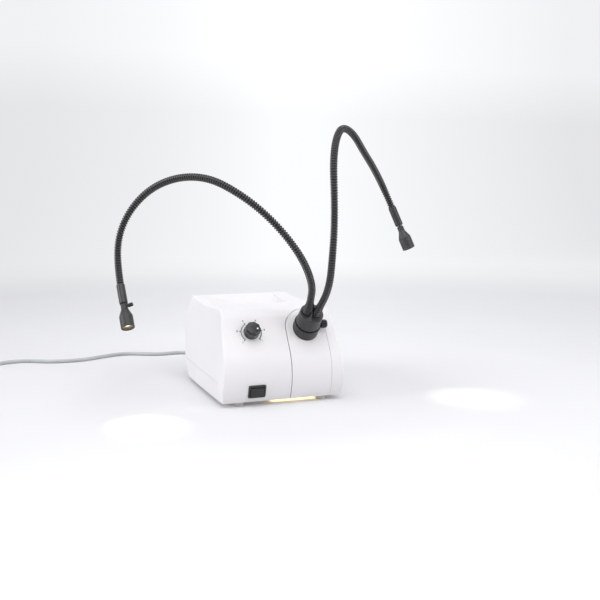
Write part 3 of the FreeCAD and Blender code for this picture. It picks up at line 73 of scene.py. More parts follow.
# ---------------------------------------------------------------- camera

CAMERA_PLACE = (-417.7, -1198.3, 312.3)
CAMERA_LENS = 51.379
CAMERA_SENSOR = 36
CAMERA_DOWN = 6.93
CAMERA_TURN = -20.37

camera = bpy.data.objects.new("camera", bpy.data.cameras.new("camera"))
show(camera)
camera.location = spot(*CAMERA_PLACE)
camera.rotation_euler = (radians(90 - CAMERA_DOWN), 0, radians(CAMERA_TURN))
camera.data.lens = CAMERA_LENS
camera.data.sensor_width = CAMERA_SENSOR
bpy.context.scene.camera = camera


# ---------------------------------------------------------------- frames

def frame_at(origin, z_axis, x_axis=(1, 0, 0)):
    """A frame with this Z axis, and an X axis as near as it can be to the one given."""
    z = Vector(z_axis).normalized()
    y = z.cross(Vector(x_axis)).normalized()
    x = y.cross(z)
    matrix = Matrix((x, y, z)).transposed().to_4x4()
    matrix.translation = origin
    return matrix


def moved(matrix, x=0, y=0, z=0):
    """The same frame, moved along its own axes."""
    return matrix @ Matrix.Translation((x * MM, y * MM, z * MM))


def turned_by(matrix, degrees):
    """The same frame, turned round its own Z axis."""
    return matrix @ Matrix.Rotation(radians(degrees), 4, "Z")


CLAMP_HEIGHT = 9
dial = frame_at(Vector(joints["dimmer_turn"]["pos_m"]), joints["dimmer_turn"]["axis"])
port_way = Vector(joints["guide_slide"]["axis"])
clamp_spot = Vector(joints["collar_clamp_turn"]["pos_m"])
port = frame_at(clamp_spot - port_way * CLAMP_HEIGHT * MM, port_way)
clamp = frame_at(clamp_spot, joints["collar_clamp_turn"]["axis"], (0, 1, 0))


# ---------------------------------------------------------------- materials

# Nearly all of a noise's values lie between these two.
NOISE_LOW = 0.3
NOISE_HIGH = 0.7


class Shader:
    """A node material built round one Principled shader."""

    def __init__(self, name):
        self.material = bpy.data.materials.new(name)
        self.material.use_nodes = True
        self.tree = self.material.node_tree
        self.main = next(n for n in self.tree.nodes if n.type == "BSDF_PRINCIPLED")
        self.space = self.add("ShaderNodeTexCoord").outputs["Object"]

    def add(self, kind, **values):
        node = self.tree.nodes.new(kind)
        for name, value in values.items():
            setattr(node, name, value)
        return node

    def link(self, start, end):
        self.tree.links.new(start, end)

    def noise(self, scale, detail=3, rough=0.5, stretch=(1, 1, 1)):
        """Noise whose cells are about 1/scale of a metre wide."""
        mapping = self.add("ShaderNodeMapping")
        mapping.inputs["Scale"].default_value = stretch
        self.link(self.space, mapping.inputs["Vector"])
        noise = self.add("ShaderNodeTexNoise")
        noise.inputs["Scale"].default_value = scale
        noise.inputs["Detail"].default_value = detail
        noise.inputs["Roughness"].default_value = rough
        self.link(mapping.outputs["Vector"], noise.inputs["Vector"])
        return noise.outputs["Fac"]

    def ramp(self, fac, low, high):
        """The noise turned into a range of colours."""
        ramp = self.add("ShaderNodeValToRGB")
        ramp.color_ramp.elements[0].position = NOISE_LOW
        ramp.color_ramp.elements[0].color = (*low, 1)
        ramp.color_ramp.elements[1].position = NOISE_HIGH
        ramp.color_ramp.elements[1].color = (*high, 1)
        self.link(fac, ramp.inputs["Fac"])
        return ramp.outputs["Color"]

    def spread(self, fac, low, high):
        """The noise turned into a range of numbers."""
        node = self.add("ShaderNodeMapRange")
        node.inputs["From Min"].default_value = NOISE_LOW
        node.inputs["From Max"].default_value = NOISE_HIGH
        node.inputs["To Min"].default_value = low
        node.inputs["To Max"].default_value = high
        self.link(fac, node.inputs["Value"])
        return node.outputs["Result"]

    def fit(self, value, line):
        """A number read off a bent line of (value, result) points, straight between them."""
        start, end = line[0][0], line[-1][0]
        span = self.add("ShaderNodeMapRange")
        span.inputs["From Min"].default_value = start
        span.inputs["From Max"].default_value = end
        self.link(value, span.inputs["Value"])
        ramp = self.add("ShaderNodeValToRGB")
        marks = ramp.color_ramp.elements
        for stop, level in line:
            share = (stop - start) / (end - start)
            ends = {start: marks[0], end: marks[-1]}
            mark = ends[stop] if stop in ends else marks.new(share)
            mark.position = share
            mark.color = (level, level, level, 1)
        self.link(span.outputs["Result"], ramp.inputs["Fac"])
        return ramp.outputs["Color"]

    def combine(self, operation, first, second):
        node = self.add("ShaderNodeMath", operation=operation)
        self.link(first, node.inputs[0])
        self.link(second, node.inputs[1])
        return node.outputs[0]

    def bump(self, fac, depth):
        node = self.add("ShaderNodeBump")
        node.inputs["Strength"].default_value = 1
        node.inputs["Distance"].default_value = depth * MM
        self.link(fac, node.inputs["Height"])
        return node.outputs["Normal"]

    def put(self, name, value):
        """Set an input of the Principled shader, or link it when the value is a socket."""
        socket = self.main.inputs[name]
        if isinstance(value, bpy.types.NodeSocket):
            self.link(value, socket)
        else:
            socket.default_value = value


def plastic(name, dark, light, rough=(0.35, 0.45), grain=900, depth=0.01, cloud=14, level=0.5,
            coat=0):
    """Moulded plastic: a slow drift of colour and gloss, and a fine grain."""
    shader = Shader(name)
    shader.put("Base Color", shader.ramp(shader.noise(cloud), dark, light))
    shader.put("Roughness", shader.spread(shader.noise(cloud * 5, 4, 0.6), *rough))
    shader.put("Normal", shader.bump(shader.noise(grain, 2), depth))
    shader.put("Specular IOR Level", level)
    shader.put("Coat Weight", coat)
    return shader.material


def metal(name, dark, light, rough=(0.25, 0.4), stretch=(1, 1, 12), scale=300, depth=0.004):
    """Worked metal with fine marks along one axis."""
    shader = Shader(name)
    marks = shader.noise(scale, 4, 0.6, stretch)
    shader.put("Metallic", 1.0)
    shader.put("Base Color", shader.ramp(marks, dark, light))
    shader.put("Roughness", shader.spread(shader.noise(60, 4), *rough))
    shader.put("Normal", shader.bump(marks, depth))
    return shader.material


def glass(name, tint):
    """Clear tinted glass with a faint waviness."""
    shader = Shader(name)
    paler = tuple(min(1, 1.03 * part) for part in tint)
    shader.put("Base Color", shader.ramp(shader.noise(30), tint, paler))
    shader.put("Roughness", 0.02)
    shader.put("Transmission Weight", 1.0)
    shader.put("IOR", 1.5)
    shader.put("Normal", shader.bump(shader.noise(200, 2), 0.002))
    return shader.material


def glow(name, colour, strength, base=(0.6, 0.5, 0.3)):
    """A lit surface whose light is a little uneven, as fibres are."""
    shader = Shader(name)
    dimmer = tuple(0.86 * part for part in colour)
    shader.put("Base Color", (*base, 1))
    shader.put("Roughness", 0.25)
    shader.put("Emission Color", shader.ramp(shader.noise(4000, 2), dimmer, colour))
    shader.put("Emission Strength", strength)
    return shader.material


WHITE = plastic("casing_white", (0.85, 0.835, 0.852), (0.88, 0.865, 0.882), (0.3, 0.4),
                grain=1400, depth=0.006, cloud=9)
PAN_WHITE = plastic("pan_white", (0.83, 0.815, 0.83), (0.87, 0.855, 0.87), (0.34, 0.46),
                    grain=1400, depth=0.008, cloud=9)
BLACK = plastic("black_plastic", (0.016, 0.016, 0.018), (0.028, 0.028, 0.031), (0.26, 0.36),
                grain=1600, cloud=60)
KNOB_BLACK = plastic("knob_black", (0.018, 0.019, 0.022), (0.03, 0.031, 0.035), (0.2, 0.3),
                     grain=1500, depth=0.008, cloud=60, coat=0.1)
MATT_BLACK = plastic("matt_black", (0.026, 0.025, 0.027), (0.046, 0.044, 0.047), (0.36, 0.46),
                     grain=1800, depth=0.015, cloud=60)
HOSE = plastic("hose_black", (0.008, 0.0075, 0.009), (0.015, 0.014, 0.016), (0.2, 0.28),
               grain=1500, depth=0.004, cloud=120, level=0.8)
GROOVE = plastic("groove_black", (0.008, 0.008, 0.009), (0.013, 0.013, 0.014), (0.5, 0.6))
SLEEVE = plastic("sleeve_black", (0.026, 0.025, 0.028), (0.04, 0.039, 0.043), (0.26, 0.34),
                 grain=1500, depth=0.008, cloud=80)
BARREL_GREY = plastic("barrel_black", (0.03, 0.03, 0.032), (0.05, 0.05, 0.053), (0.34, 0.44),
                      grain=1500, cloud=80)
INK = plastic("scale_ink", (0.015, 0.015, 0.017), (0.03, 0.03, 0.033), (0.5, 0.6))
DOT_WHITE = plastic("dot_white", (0.86, 0.86, 0.86), (0.9, 0.9, 0.9), (0.4, 0.5))
FOOT_PALE = plastic("foot_rubber", (0.62, 0.61, 0.56), (0.7, 0.69, 0.64), (0.6, 0.75),
                    depth=0.03)
CORD_GREY = plastic("cord_grey", (0.5, 0.52, 0.53), (0.58, 0.6, 0.61), (0.42, 0.55),
                    grain=1200, depth=0.02, cloud=40)
MOULDED_GREY = plastic("moulded_grey", (0.44, 0.455, 0.465), (0.51, 0.525, 0.535), (0.45, 0.55),
                       grain=1200, depth=0.02, cloud=40)
STRAP = plastic("strap_black", (0.02, 0.02, 0.022), (0.035, 0.035, 0.038), (0.6, 0.75),
                grain=2500, depth=0.06, cloud=90)
FAN_BLACK = plastic("fan_black", (0.022, 0.022, 0.024), (0.032, 0.032, 0.034), (0.4, 0.5))
PANEL = plastic("panel_coat", (0.66, 0.66, 0.66), (0.72, 0.72, 0.72), (0.4, 0.5),
                grain=2200, depth=0.03, cloud=30)
BOARD = plastic("circuit_board", (0.02, 0.11, 0.04), (0.04, 0.17, 0.07), (0.3, 0.4),
                grain=500, depth=0.02, cloud=200)
CERAMIC = plastic("ceramic", (0.7, 0.68, 0.62), (0.78, 0.76, 0.7), (0.6, 0.7))
ZINC = metal("zinc", (0.55, 0.56, 0.58), (0.74, 0.75, 0.77))
STEEL = metal("steel", (0.6, 0.6, 0.6), (0.78, 0.78, 0.78), (0.2, 0.32))
DARK_STEEL = metal("dark_steel", (0.1, 0.1, 0.11), (0.17, 0.17, 0.18), (0.25, 0.35))
SHEET = metal("sheet_steel", (0.5, 0.51, 0.53), (0.68, 0.69, 0.71), (0.35, 0.5), (12, 1, 1))
BRASS = metal("brass", (0.6, 0.44, 0.2), (0.75, 0.57, 0.28))
ALUMINIUM = metal("aluminium", (0.6, 0.61, 0.62), (0.76, 0.77, 0.78), (0.4, 0.5), (1, 12, 1))
COPPER = metal("enamelled_copper", (0.42, 0.15, 0.05), (0.66, 0.28, 0.11), (0.25, 0.4), (1, 1, 30),
               scale=500, depth=0.08)
MIRROR = metal("reflector_coat", (0.62, 0.66, 0.8), (0.86, 0.8, 0.75), (0.06, 0.12))
HEAT_GLASS = glass("heat_glass", (0.72, 0.9, 0.86))
LENS_LIT = glow("lens_lit", (1.0, 0.9, 0.66), 2.6)
FIBRE_LIT = glow("fibre_lit", (1.0, 0.86, 0.55), 3.0)
CAPSULE_LIT = glow("capsule_lit", (1.0, 0.8, 0.45), 4.0)
# The throat's dark wall gets a painted warm glow, standing in for the lens's light falling on it.
PAINTED_THROAT_GLOW = glow("throat_painted_glow", (0.42, 0.24, 0.08), 0.55, (0.05, 0.04, 0.03))

for node_name, material in {
    "upper_cover": WHITE, "lamp_door": WHITE, "base_pan": PAN_WHITE, "housing_screws": ZINC,
    "lamp_drawer": SHEET, "lamp_bracket": SHEET, "lamp_baffle": SHEET,
    "filter_holder": DARK_STEEL, "lamp_reflector": MIRROR, "lamp_capsule": CAPSULE_LIT,
    "lamp_socket": CERAMIC, "heat_filter": HEAT_GLASS, "clamp_screw": STEEL,
    "guide_ferrule": GROOVE, "fibre_input": FIBRE_LIT,
    "left_tip_ferrule": DARK_STEEL, "right_tip_ferrule": DARK_STEEL,
    "left_fibre_end": FIBRE_LIT, "right_fibre_end": FIBRE_LIT,
    "dimmer_shaft": STEEL, "potentiometer": ZINC, "dimmer_nut": STEEL,
    "rear_panel": PANEL, "fan_frame": FAN_BLACK, "fan_rotor": FAN_BLACK, "panel_screws": ZINC,
    "mains_inlet": BLACK, "plug_pins": BRASS, "transformer_coil": COPPER,
    "transformer_bolt": ZINC, "control_board": BOARD, "board_spacers": BRASS,
    "heat_sink": ALUMINIUM,
}.items():
    nodes[node_name].data.materials.clear()
    nodes[node_name].data.materials.append(material)


# ---------------------------------------------------------------- making pieces

def piece(name, mesh, material, body, replaces=(), sharp=32):
    """Put a mesh in the scene as a piece that rides on a body.

    Its edges stay crisp where they bend by more than sharp.
    """
    mesh.name = name
    mesh.materials.append(material)
    for face in mesh.polygons:
        face.use_smooth = True
    mesh.set_sharp_from_angle(angle=radians(sharp))
    thing = bpy.data.objects.new(name, mesh)
    show(thing)
    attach(thing, body)
    if replaces:
        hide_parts(*replaces)


def mesh_in_metres(points, faces):
    mesh = bpy.data.meshes.new("mesh")
    mesh.from_pydata(points, [], faces)
    mesh.update()
    return mesh


def mesh_of(points, faces, matrix):
    """A mesh from points in millimetres in the frame of the matrix."""
    return mesh_in_metres([matrix @ (Vector(point) * MM) for point in points], faces)


def clamped(value):
    return max(0, min(1, value))


def share_of(value, start, end):
    """How far the value has come on the way from start to end, from 0 to 1."""
    return clamped((value - start) / (end - start))


def circle(radius, segments):
    """Points round a circle, as (x, y)."""
    angles = [2 * pi * k / segments for k in range(segments)]
    return [(radius * cos(angle), radius * sin(angle)) for angle in angles]


def rounded(corners, steps=5):
    """The outline's points, with the corners that have a third number rounded by it."""
    points = []
    for index, corner in enumerate(corners):
        here = Vector(corner[:2])
        trim = corner[2] if len(corner) > 2 else 0
        if not trim:
            points.append(here)
            continue
        start = here + (Vector(corners[index - 1][:2]) - here).normalized() * trim
        end = here + (Vector(corners[index + 1][:2]) - here).normalized() * trim
        for step in range(steps + 1):
            t = step / steps
            points.append(start * (1 - t) ** 2 + here * 2 * t * (1 - t) + end * t ** 2)
    return points


def filled(outline, step):
    """The same outline with points no further apart than the step."""
    points = []
    for here, there in zip(outline, outline[1:]):
        parts = max(1, round((there - here).length / step))
        points += [here.lerp(there, k / parts) for k in range(parts)]
    return points + [outline[-1]]


def turned(outline, matrix, segments=72, ripple=None):
    """A surface of revolution; ripple(angle, radius, height) may change the radius."""
    rings = []
    points = []
    faces = []
    for radius, height in outline:
        if radius < 1e-6:
            rings.append([len(points)])
            points.append((0, 0, height))
            continue
        ring = []
        for k in range(segments):
            angle = 2 * pi * k / segments
            reach = ripple(angle, radius, height) if ripple else radius
            ring.append(len(points))
            points.append((reach * cos(angle), reach * sin(angle), height))
        rings.append(ring)
    for low, high in zip(rings, rings[1:]):
        for k in range(segments):
            after = (k + 1) % segments
            if len(low) == 1 and len(high) > 1:
                faces.append((low[0], high[after], high[k]))
            elif len(high) == 1 and len(low) > 1:
                faces.append((low[k], low[after], high[0]))
            elif len(low) > 1:
                faces.append((low[k], low[after], high[after], high[k]))
    return mesh_of(points, faces, matrix)


def tube_faces(rings, segments):
    """The faces between rings of points, and one face over each end."""
    faces = []
    for low in range(0, (rings - 1) * segments, segments):
        high = low + segments
        for k in range(segments):
            after = (k + 1) % segments
            faces.append((low + k, low + after, high + after, high + k))
    last = (rings - 1) * segments
    faces.append(tuple(range(segments - 1, -1, -1)))
    faces.append(tuple(range(last, last + segments)))
    return faces


def soft_block(layers, matrix, power=7, segments=72):
    """A block with rounded corners: layers of (half width, half height, level).

    The higher the power, the squarer the corners.
    """
    points = []
    for wide, high, level in layers:
        for k in range(segments):
            angle = 2 * pi * (k + 0.5) / segments
            x, y = cos(angle), sin(angle)
            reach = (abs(x) ** power + abs(y) ** power) ** (-1 / power)
            points.append((wide * x * reach, high * y * reach, level))
    return mesh_of(points, tube_faces(len(layers), segments), matrix)


def nurbs_curve(name, points, resolution):
    """A smooth curve with the points, in metres, as its control points."""
    curve = bpy.data.curves.new(name, "CURVE")
    curve.dimensions = "3D"
    spline = curve.splines.new("NURBS")
    spline.points.add(len(points) - 1)
    for place, point in zip(spline.points, points):
        place.co = (*point, 1)
    spline.order_u = 3
    spline.use_endpoint_u = True
    spline.resolution_u = resolution
    return curve


def route_line(points):
    """The smooth line of a route, as points in metres."""
    curve = nurbs_curve("route", points, 24)
    thing = bpy.data.objects.new("route", curve)
    mesh = bpy.data.meshes.new_from_object(thing)
    line = [vertex.co.copy() for vertex in mesh.vertices]
    bpy.data.objects.remove(thing)
    bpy.data.curves.remove(curve)
    bpy.data.meshes.remove(mesh)
    return line


def even_line(line, step):
    """The line again with points evenly apart, and how far apart, which is nearly the step."""
    total = sum((b - a).length for a, b in zip(line, line[1:]))
    count = max(2, round(total / step))
    step = total / count
    result = [line[0].copy()]
    travelled = 0
    wanted = step
    for a, b in zip(line, line[1:]):
        span = (b - a).length
        while wanted <= travelled + span + 1e-9 and len(result) < count:
            result.append(a.lerp(b, (wanted - travelled) / span))
            wanted += step
        travelled += span
    result.append(line[-1].copy())
    return result, step


def swept(line, radius_at, segments):
    """A tube with closed ends along a line in metres; radius_at(index) is in millimetres."""
    points = []
    side = (line[1] - line[0]).normalized().orthogonal().normalized()
    for index, centre in enumerate(line):
        before = line[max(index - 1, 0)]
        after = line[min(index + 1, len(line) - 1)]
        ahead = (after - before).normalized()
        side = (side - ahead * side.dot(ahead)).normalized()
        up = ahead.cross(side)
        reach = radius_at(index) * MM
        for k in range(segments):
            angle = 2 * pi * k / segments
            points.append(centre + (side * cos(angle) + up * sin(angle)) * reach)
    return mesh_in_metres(points, tube_faces(len(line), segments))


# ---------------------------------------------------------------- mains lead

LEAD_RADIUS = 3.5
BOOT_END = (-40, 298.2, 74)
LEAD_ROUTE = [
    (-40, 331, 71.5), (-39, 360, 57), (-36, 381, 34), (-31, 401, 13), (-29, 425, 3.5),
    (-38, 447, 3.5), (-57, 458, 3.5), (-82, 455, 3.5), (-107, 455.5, 3.5), (-131, 468.5, 3.5),
    (-156, 482, 3.5), (-183, 479, 3.5), (-210, 465, 3.5), (-238, 450, 3.5), (-264, 443.5, 3.5),
    (-297, 446, 3.5), (-320, 455, 3.5), (-343, 470, 3.5), (-370, 473.5, 3.5), (-395, 464, 3.5),
    (-421, 446, 3.6),
]
COIL_MIDDLE = (-468, 463)
COIL_START = -52
COIL_STEP = 24
# The control points of the turns stand out a little, because the curve cuts inside them.
COIL_REACH = 1 / cos(radians(COIL_STEP) / 2) ** 0.67
# Sweep in degrees, radius and height of the coiled turns.
COIL_TURNS = [
    (0, 49, 4.4), (300, 49, 4.4), (360, 42, 4.4), (660, 42, 4.4), (720, 35, 4.4), (955, 35, 4.4),
    (985, 34.6, 8), (1020, 38, 11), (1050, 38.5, 11.8), (1085, 38.5, 11), (1305, 38.5, 11),
    (1335, 42, 11.9), (1370, 45.5, 11.5), (1410, 45.5, 11.9), (1445, 45.5, 11), (1560, 45.5, 11),
]
TAIL_ROUTE = [(-510, 483, 11.6), (-510.6, 510, 11.8), (-512, 537, 14), (-513, 566, 18)]


def coil_points():
    """Points along the coiled turns, which run clockwise seen from above."""
    turns = COIL_TURNS
    points = []
    for sweep in range(0, turns[-1][0] + 1, COIL_STEP):
        before, after = next((a, b) for a, b in zip(turns, turns[1:]) if a[0] <= sweep <= b[0])
        share = (sweep - before[0]) / (after[0] - before[0])
        radius, height = (a + (b - a) * share for a, b in zip(before[1:], after[1:]))
        reach = radius * COIL_REACH
        angle = radians(COIL_START - sweep)
        x = COIL_MIDDLE[0] + reach * cos(angle)
        y = COIL_MIDDLE[1] + reach * sin(angle)
        points.append((x, y, height))
    return points


lead_route = [BOOT_END] + LEAD_ROUTE + coil_points() + TAIL_ROUTE
lead_curve = nurbs_curve("power_lead", [spot(*point) for point in lead_route], 10)
lead_curve.bevel_depth = LEAD_RADIUS * MM
lead_curve.bevel_resolution = 5
lead_curve.use_fill_caps = True
lead_curve.materials.append(CORD_GREY)
power_lead = bpy.data.objects.new("power_lead", lead_curve)
show(power_lead)
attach(power_lead, "housing")
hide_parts("mains_lead", "lead_coil", "lead_tail")

# The coupler in the inlet: a ridged grip, then a ribbed strain relief.
NOSE_LENGTH = 15
GRIP_LENGTH = 26
BOOT_LENGTH = 26
BOOT_RIBS = 7
BOOT_RIB_DEPTH = 1.1
NOSE = (11.9, 7.9)
GRIP = (13.9, 9.9)
GRIP_GROOVE = (13.5, 9.4)
RIDGE_COUNT = 6
RIDGE_START = 5
RIDGE_PITCH = 2.4

lead_exit = spot(*BOOT_END)
inlet_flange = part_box("mains_inlet")[1].y
inlet = frame_at(Vector((lead_exit.x, inlet_flange, lead_exit.z)), (0, 1, 0), (-1, 0, 0))
grip_layers = [(*NOSE, -NOSE_LENGTH), (*NOSE, 0.3), (13.2, 9.2, 0.3), (*GRIP, 1.2)]
for ridge in range(RIDGE_COUNT):
    level = RIDGE_START + RIDGE_PITCH * ridge
    grip_layers += [(*GRIP, level), (*GRIP_GROOVE, level + 0.5), (*GRIP_GROOVE, level + 1.2),
                    (*GRIP, level + 1.7)]
grip_layers += [(*GRIP, 21), (12.4, 9.2, 24.5), (10.5, 8.2, GRIP_LENGTH),
                (5.5, 5.5, GRIP_LENGTH + 0.4)]
piece("coupler_grip", soft_block(grip_layers, inlet), MOULDED_GREY, "housing",
      ["cord_connector"], 40)


def boot_outline(start, length, root, tip):
    """A ribbed, tapering strain relief."""
    outline = [(0, start - 2), (root, start - 2)]
    pitch = length / BOOT_RIBS
    for rib in range(BOOT_RIBS):
        low = start + rib * pitch
        radius = root + (tip - root) * rib / (BOOT_RIBS - 1)
        groove = radius - BOOT_RIB_DEPTH
        outline += [(radius, low), (radius, low + 0.62 * pitch), (groove, low + 0.68 * pitch),
                    (groove, low + 0.94 * pitch)]
    return outline + [(LEAD_RADIUS, start + length)]


piece("coupler_boot", turned(boot_outline(GRIP_LENGTH, BOOT_LENGTH, 6.2, 4.6), inlet, 40),
      MOULDED_GREY, "housing", sharp=50)

PLUG_RADIUS = 18
PLUG_LENGTH = 34
PLUG_WAIST = (15, 26)
PLUG_HOLLOWS = 4
PLUG_HOLLOW_DEPTH = 0.7
plug_outline = rounded([
    (0, 0), (4.4, 0, 0.6), (5.6, 8, 1), (9, 13, 3), (16.2, 17, 2.5), (17.3, 20, 1),
    (PLUG_RADIUS, 24, 1.5), (PLUG_RADIUS, PLUG_LENGTH, 1.2), (15.6, PLUG_LENGTH, 0.6),
    (15, 33.2, 0.3), (0, 33.2),
])


def finger_grip(angle, radius, height):
    """Shallow finger hollows round the plug's waist."""
    if not PLUG_WAIST[0] < height < PLUG_WAIST[1]:
        return radius
    return radius - PLUG_HOLLOW_DEPTH * max(0, cos(PLUG_HOLLOWS * angle)) ** 2


plug = frame_at(spot(*TAIL_ROUTE[-1]), (0, 1, 0))
piece("plug_body", turned(plug_outline, plug, 96, finger_grip), MOULDED_GREY, "housing",
      ["mains_plug"])

TIE_WIDTH = 9
TIE_THICK = 0.9
TIE_STEPS = 40
# The (radius, height) of the turns that the tie goes round.
TIED_TURNS = [(49, 4.4), (42, 4.4), (38.5, 11), (45.5, 11.4)]


def tie_loop(centres, radius, thick):
    """The inner and outer outline of a band pulled round several round turns, as (x, z)."""
    cloud = [Vector((x + across, z + up))
             for x, z in centres for across, up in circle(radius, TIE_STEPS)]
    cloud.sort(key=lambda point: (point.x, point.y))

    def half(points):
        chain = []
        for point in points:
            while len(chain) > 1 and (chain[-1] - chain[-2]).cross(point - chain[-1]) <= 0:
                chain.pop()
            chain.append(point)
        return chain[:-1]

    hull = half(cloud) + half(cloud[::-1])
    grown = []
    for index, here in enumerate(hull):
        along = (hull[(index + 1) % len(hull)] - hull[index - 1]).normalized()
        grown.append(here + Vector((along.y, -along.x)) * thick)
    return hull, grown


tie_inner, tie_outer = tie_loop(TIED_TURNS, LEAD_RADIUS, TIE_THICK)
tie_points = []
for edge in (-TIE_WIDTH / 2, TIE_WIDTH / 2):
    for loop, floor in ((tie_inner, 0.9 * TIE_THICK), (tie_outer, 0)):
        tie_points += [(point.x, edge, max(point.y, floor)) for point in loop]
tie_faces = []
count = len(tie_inner)
for k in range(count):
    after = (k + 1) % count
    for a, b in ((0, 1), (1, 3), (3, 2), (2, 0)):
        tie_faces.append((a * count + k, a * count + after, b * count + after, b * count + k))
tie_frame = Matrix.Translation(spot(*COIL_MIDDLE, 0))
piece("coil_strap", mesh_of(tie_points, tie_faces, tie_frame), STRAP, "housing",
      ["lead_tie"])


# ---------------------------------------------------------------- feet

FOOT_RADIUS = 7.5
FOOT_HEIGHT = 7
FOOT_SPREAD = 66
FOOT_DEPTHS = (13, 200)
foot_outline = rounded([
    (0, 0), (6.6, 0, 0.5), (FOOT_RADIUS, 1.2, 0.6), (FOOT_RADIUS, 6.2, 0.5), (3, FOOT_HEIGHT),
])
foot_places = [spot(x, y, 0) for x in (-FOOT_SPREAD, FOOT_SPREAD) for y in FOOT_DEPTHS]
for number, place in enumerate(foot_places):
    piece(f"bench_foot_{number}", turned(foot_outline, Matrix.Translation(place), 48), FOOT_PALE,
          "housing", ["rubber_feet"])


# ---------------------------------------------------------------- dimmer

KNOB_RADIUS = 12.1
KNOB_NECK = 11.8
KNOB_HEIGHT = 15.6
KNOB_LIFT = 0.6
SCALLOPS = 9
SCALLOP_DEPTH = 0.7
# The scallops deepen between these two heights, and between these two radii.
SCALLOP_HEIGHTS = (4, 9)
SCALLOP_RADII = (6.5, 10.5)
DOT_TURN = -6
DOT_OFFSET = 6
DOT_RADIUS = 1.4


def knob_ripple(angle, radius, height):
    """Finger scallops round the upper part of the knob, with a grip between each two."""
    rise = share_of(height, *SCALLOP_HEIGHTS)
    edge = share_of(radius, *SCALLOP_RADII)
    wave = 0.5 + 0.5 * cos(SCALLOPS * (angle - radians(DOT_TURN)) + pi)
    return radius - SCALLOP_DEPTH * rise * edge * wave ** 2


knob_outline = filled(rounded([
    (9, KNOB_LIFT), (KNOB_RADIUS - 0.3, KNOB_LIFT, 0.25), (KNOB_RADIUS, 1.4, 0.4),
    (11.9, 3.4, 0.6), (KNOB_NECK, 8, 1), (KNOB_NECK, KNOB_HEIGHT - 1.6, 1.2),
    (10.1, KNOB_HEIGHT, 1.6), (6, KNOB_HEIGHT + 0.4, 2), (0, KNOB_HEIGHT + 0.5),
]), 0.8)
piece("dimmer_cap", turned(knob_outline, dial, 216, knob_ripple), KNOB_BLACK, "dimmer",
      ["dimmer_knob"], 60)
dot_outline = rounded([(DOT_RADIUS, -1.5), (DOT_RADIUS, 0.55, 0.2), (0, 0.65)])
dot_frame = moved(turned_by(dial, DOT_TURN), DOT_OFFSET, 0, KNOB_HEIGHT + 0.1)
piece("index_dot", turned(dot_outline, dot_frame, 32), DOT_WHITE, "dimmer",
      ["knob_dot"])

INK_LIFT = 0.06
SCALE_RADIUS = 15.6
ARC_STEP = 3
LINE_WIDTH = 1.1
BOLD_WIDTH = 1.6
TICK_LENGTH = 3
NUMBER_RADIUS = 21.6
NUMBER_HEIGHT = 3.6
NUMBER_BOLDNESS = 0.2
MARKS = [225, 171, 117, 63, 9, -45]
scale_points = []
scale_faces = []


def polar(radius, degrees):
    """A point of the dial's face."""
    return Vector((radius * cos(radians(degrees)), radius * sin(radians(degrees))))


def arc(start, end):
    """Points along the scale's circle, clockwise from one angle to the other."""
    return [polar(SCALE_RADIUS, degrees) for degrees in range(start, end - 1, -ARC_STEP)]


def strip(path, width):
    """A flat printed line on the dial's face, through (x, y) points."""
    first = len(scale_points)
    for index, here in enumerate(path):
        ahead = path[min(index + 1, len(path) - 1)] - path[max(index - 1, 0)]
        ahead.normalize()
        side = Vector((-ahead.y, ahead.x)) * width / 2
        for x, y in (here + side, here - side):
            scale_points.append((x, y, INK_LIFT))
    for index in range(len(path) - 1):
        a = first + 2 * index
        scale_faces.append((a, a + 1, a + 3, a + 2))


strip(arc(225, 117), LINE_WIDTH)
strip(arc(12, -45), BOLD_WIDTH)
for mark in MARKS:
    strip([polar(SCALE_RADIUS - 0.2, mark), polar(SCALE_RADIUS + TICK_LENGTH, mark)], LINE_WIDTH)
piece("dial_scale", mesh_of(scale_points, scale_faces, dial), INK, "housing")

for value, mark in enumerate(MARKS, start=1):
    text = bpy.data.curves.new("number", "FONT")
    text.body = str(value)
    text.size = NUMBER_HEIGHT * MM
    text.offset = NUMBER_BOLDNESS * MM
    text.align_x = "CENTER"
    text.align_y = "CENTER"
    maker = bpy.data.objects.new("number", text)
    mesh = bpy.data.meshes.new_from_object(maker)
    mesh.materials.clear()
    bpy.data.objects.remove(maker)
    mesh.transform(moved(dial, *polar(NUMBER_RADIUS, mark), INK_LIFT))
    piece(f"dial_number_{value}", mesh, INK, "housing")


# ---------------------------------------------------------------- rocker switch

SWITCH_PLACE = (-43.7, -7.9, 24)
SWITCH_LEAN = radians(17.2)
ROCKER_TILT = radians(8)
ROCKER_HALF_WIDTH = 10
ROCKER_HALF_HEIGHT = 6.25
ROCKER_EDGE = 0.7
ROCKER_RISE = 2.4
# Each half sinks to its own middle line, by this much per square millimetre.
ROCKER_HOLLOW = 0.02
ROCKER_MIDDLE = 3.4
# The cap's foot: its share of the cap's width and of its height, and its level.
ROCKER_FOOT = (0.97, 0.93, -2.2)
ROCKER_CELLS = 24
BEZEL_LAYERS = [
    (13.5, 10.3, -0.6), (13.5, 10.3, 1.2), (13.1, 9.9, 1.7), (12.5, 9.3, 1.8), (10.9, 7.6, 1.8),
    (10.5, 7.3, 1.3), (10.4, 7.2, -5),
]
switch = frame_at(spot(*SWITCH_PLACE), (0, -cos(SWITCH_LEAN), -sin(SWITCH_LEAN)))
piece("switch_bezel", soft_block(BEZEL_LAYERS, switch, 14), BLACK, "housing",
      ["switch_frame"], 40)


def rocker_level(x, y):
    """Level of the rocker's face, whose lower half stands out and whose edge is eased."""
    slope = max(0, -y) * math.tan(2 * ROCKER_TILT)
    hollow = ROCKER_HOLLOW * (abs(y) - ROCKER_MIDDLE) ** 2
    beyond = max(abs(x) - ROCKER_HALF_WIDTH, abs(y) - ROCKER_HALF_HEIGHT) + ROCKER_EDGE
    return ROCKER_RISE + slope + hollow - 0.5 * (max(beyond, 0) / ROCKER_EDGE) ** 2


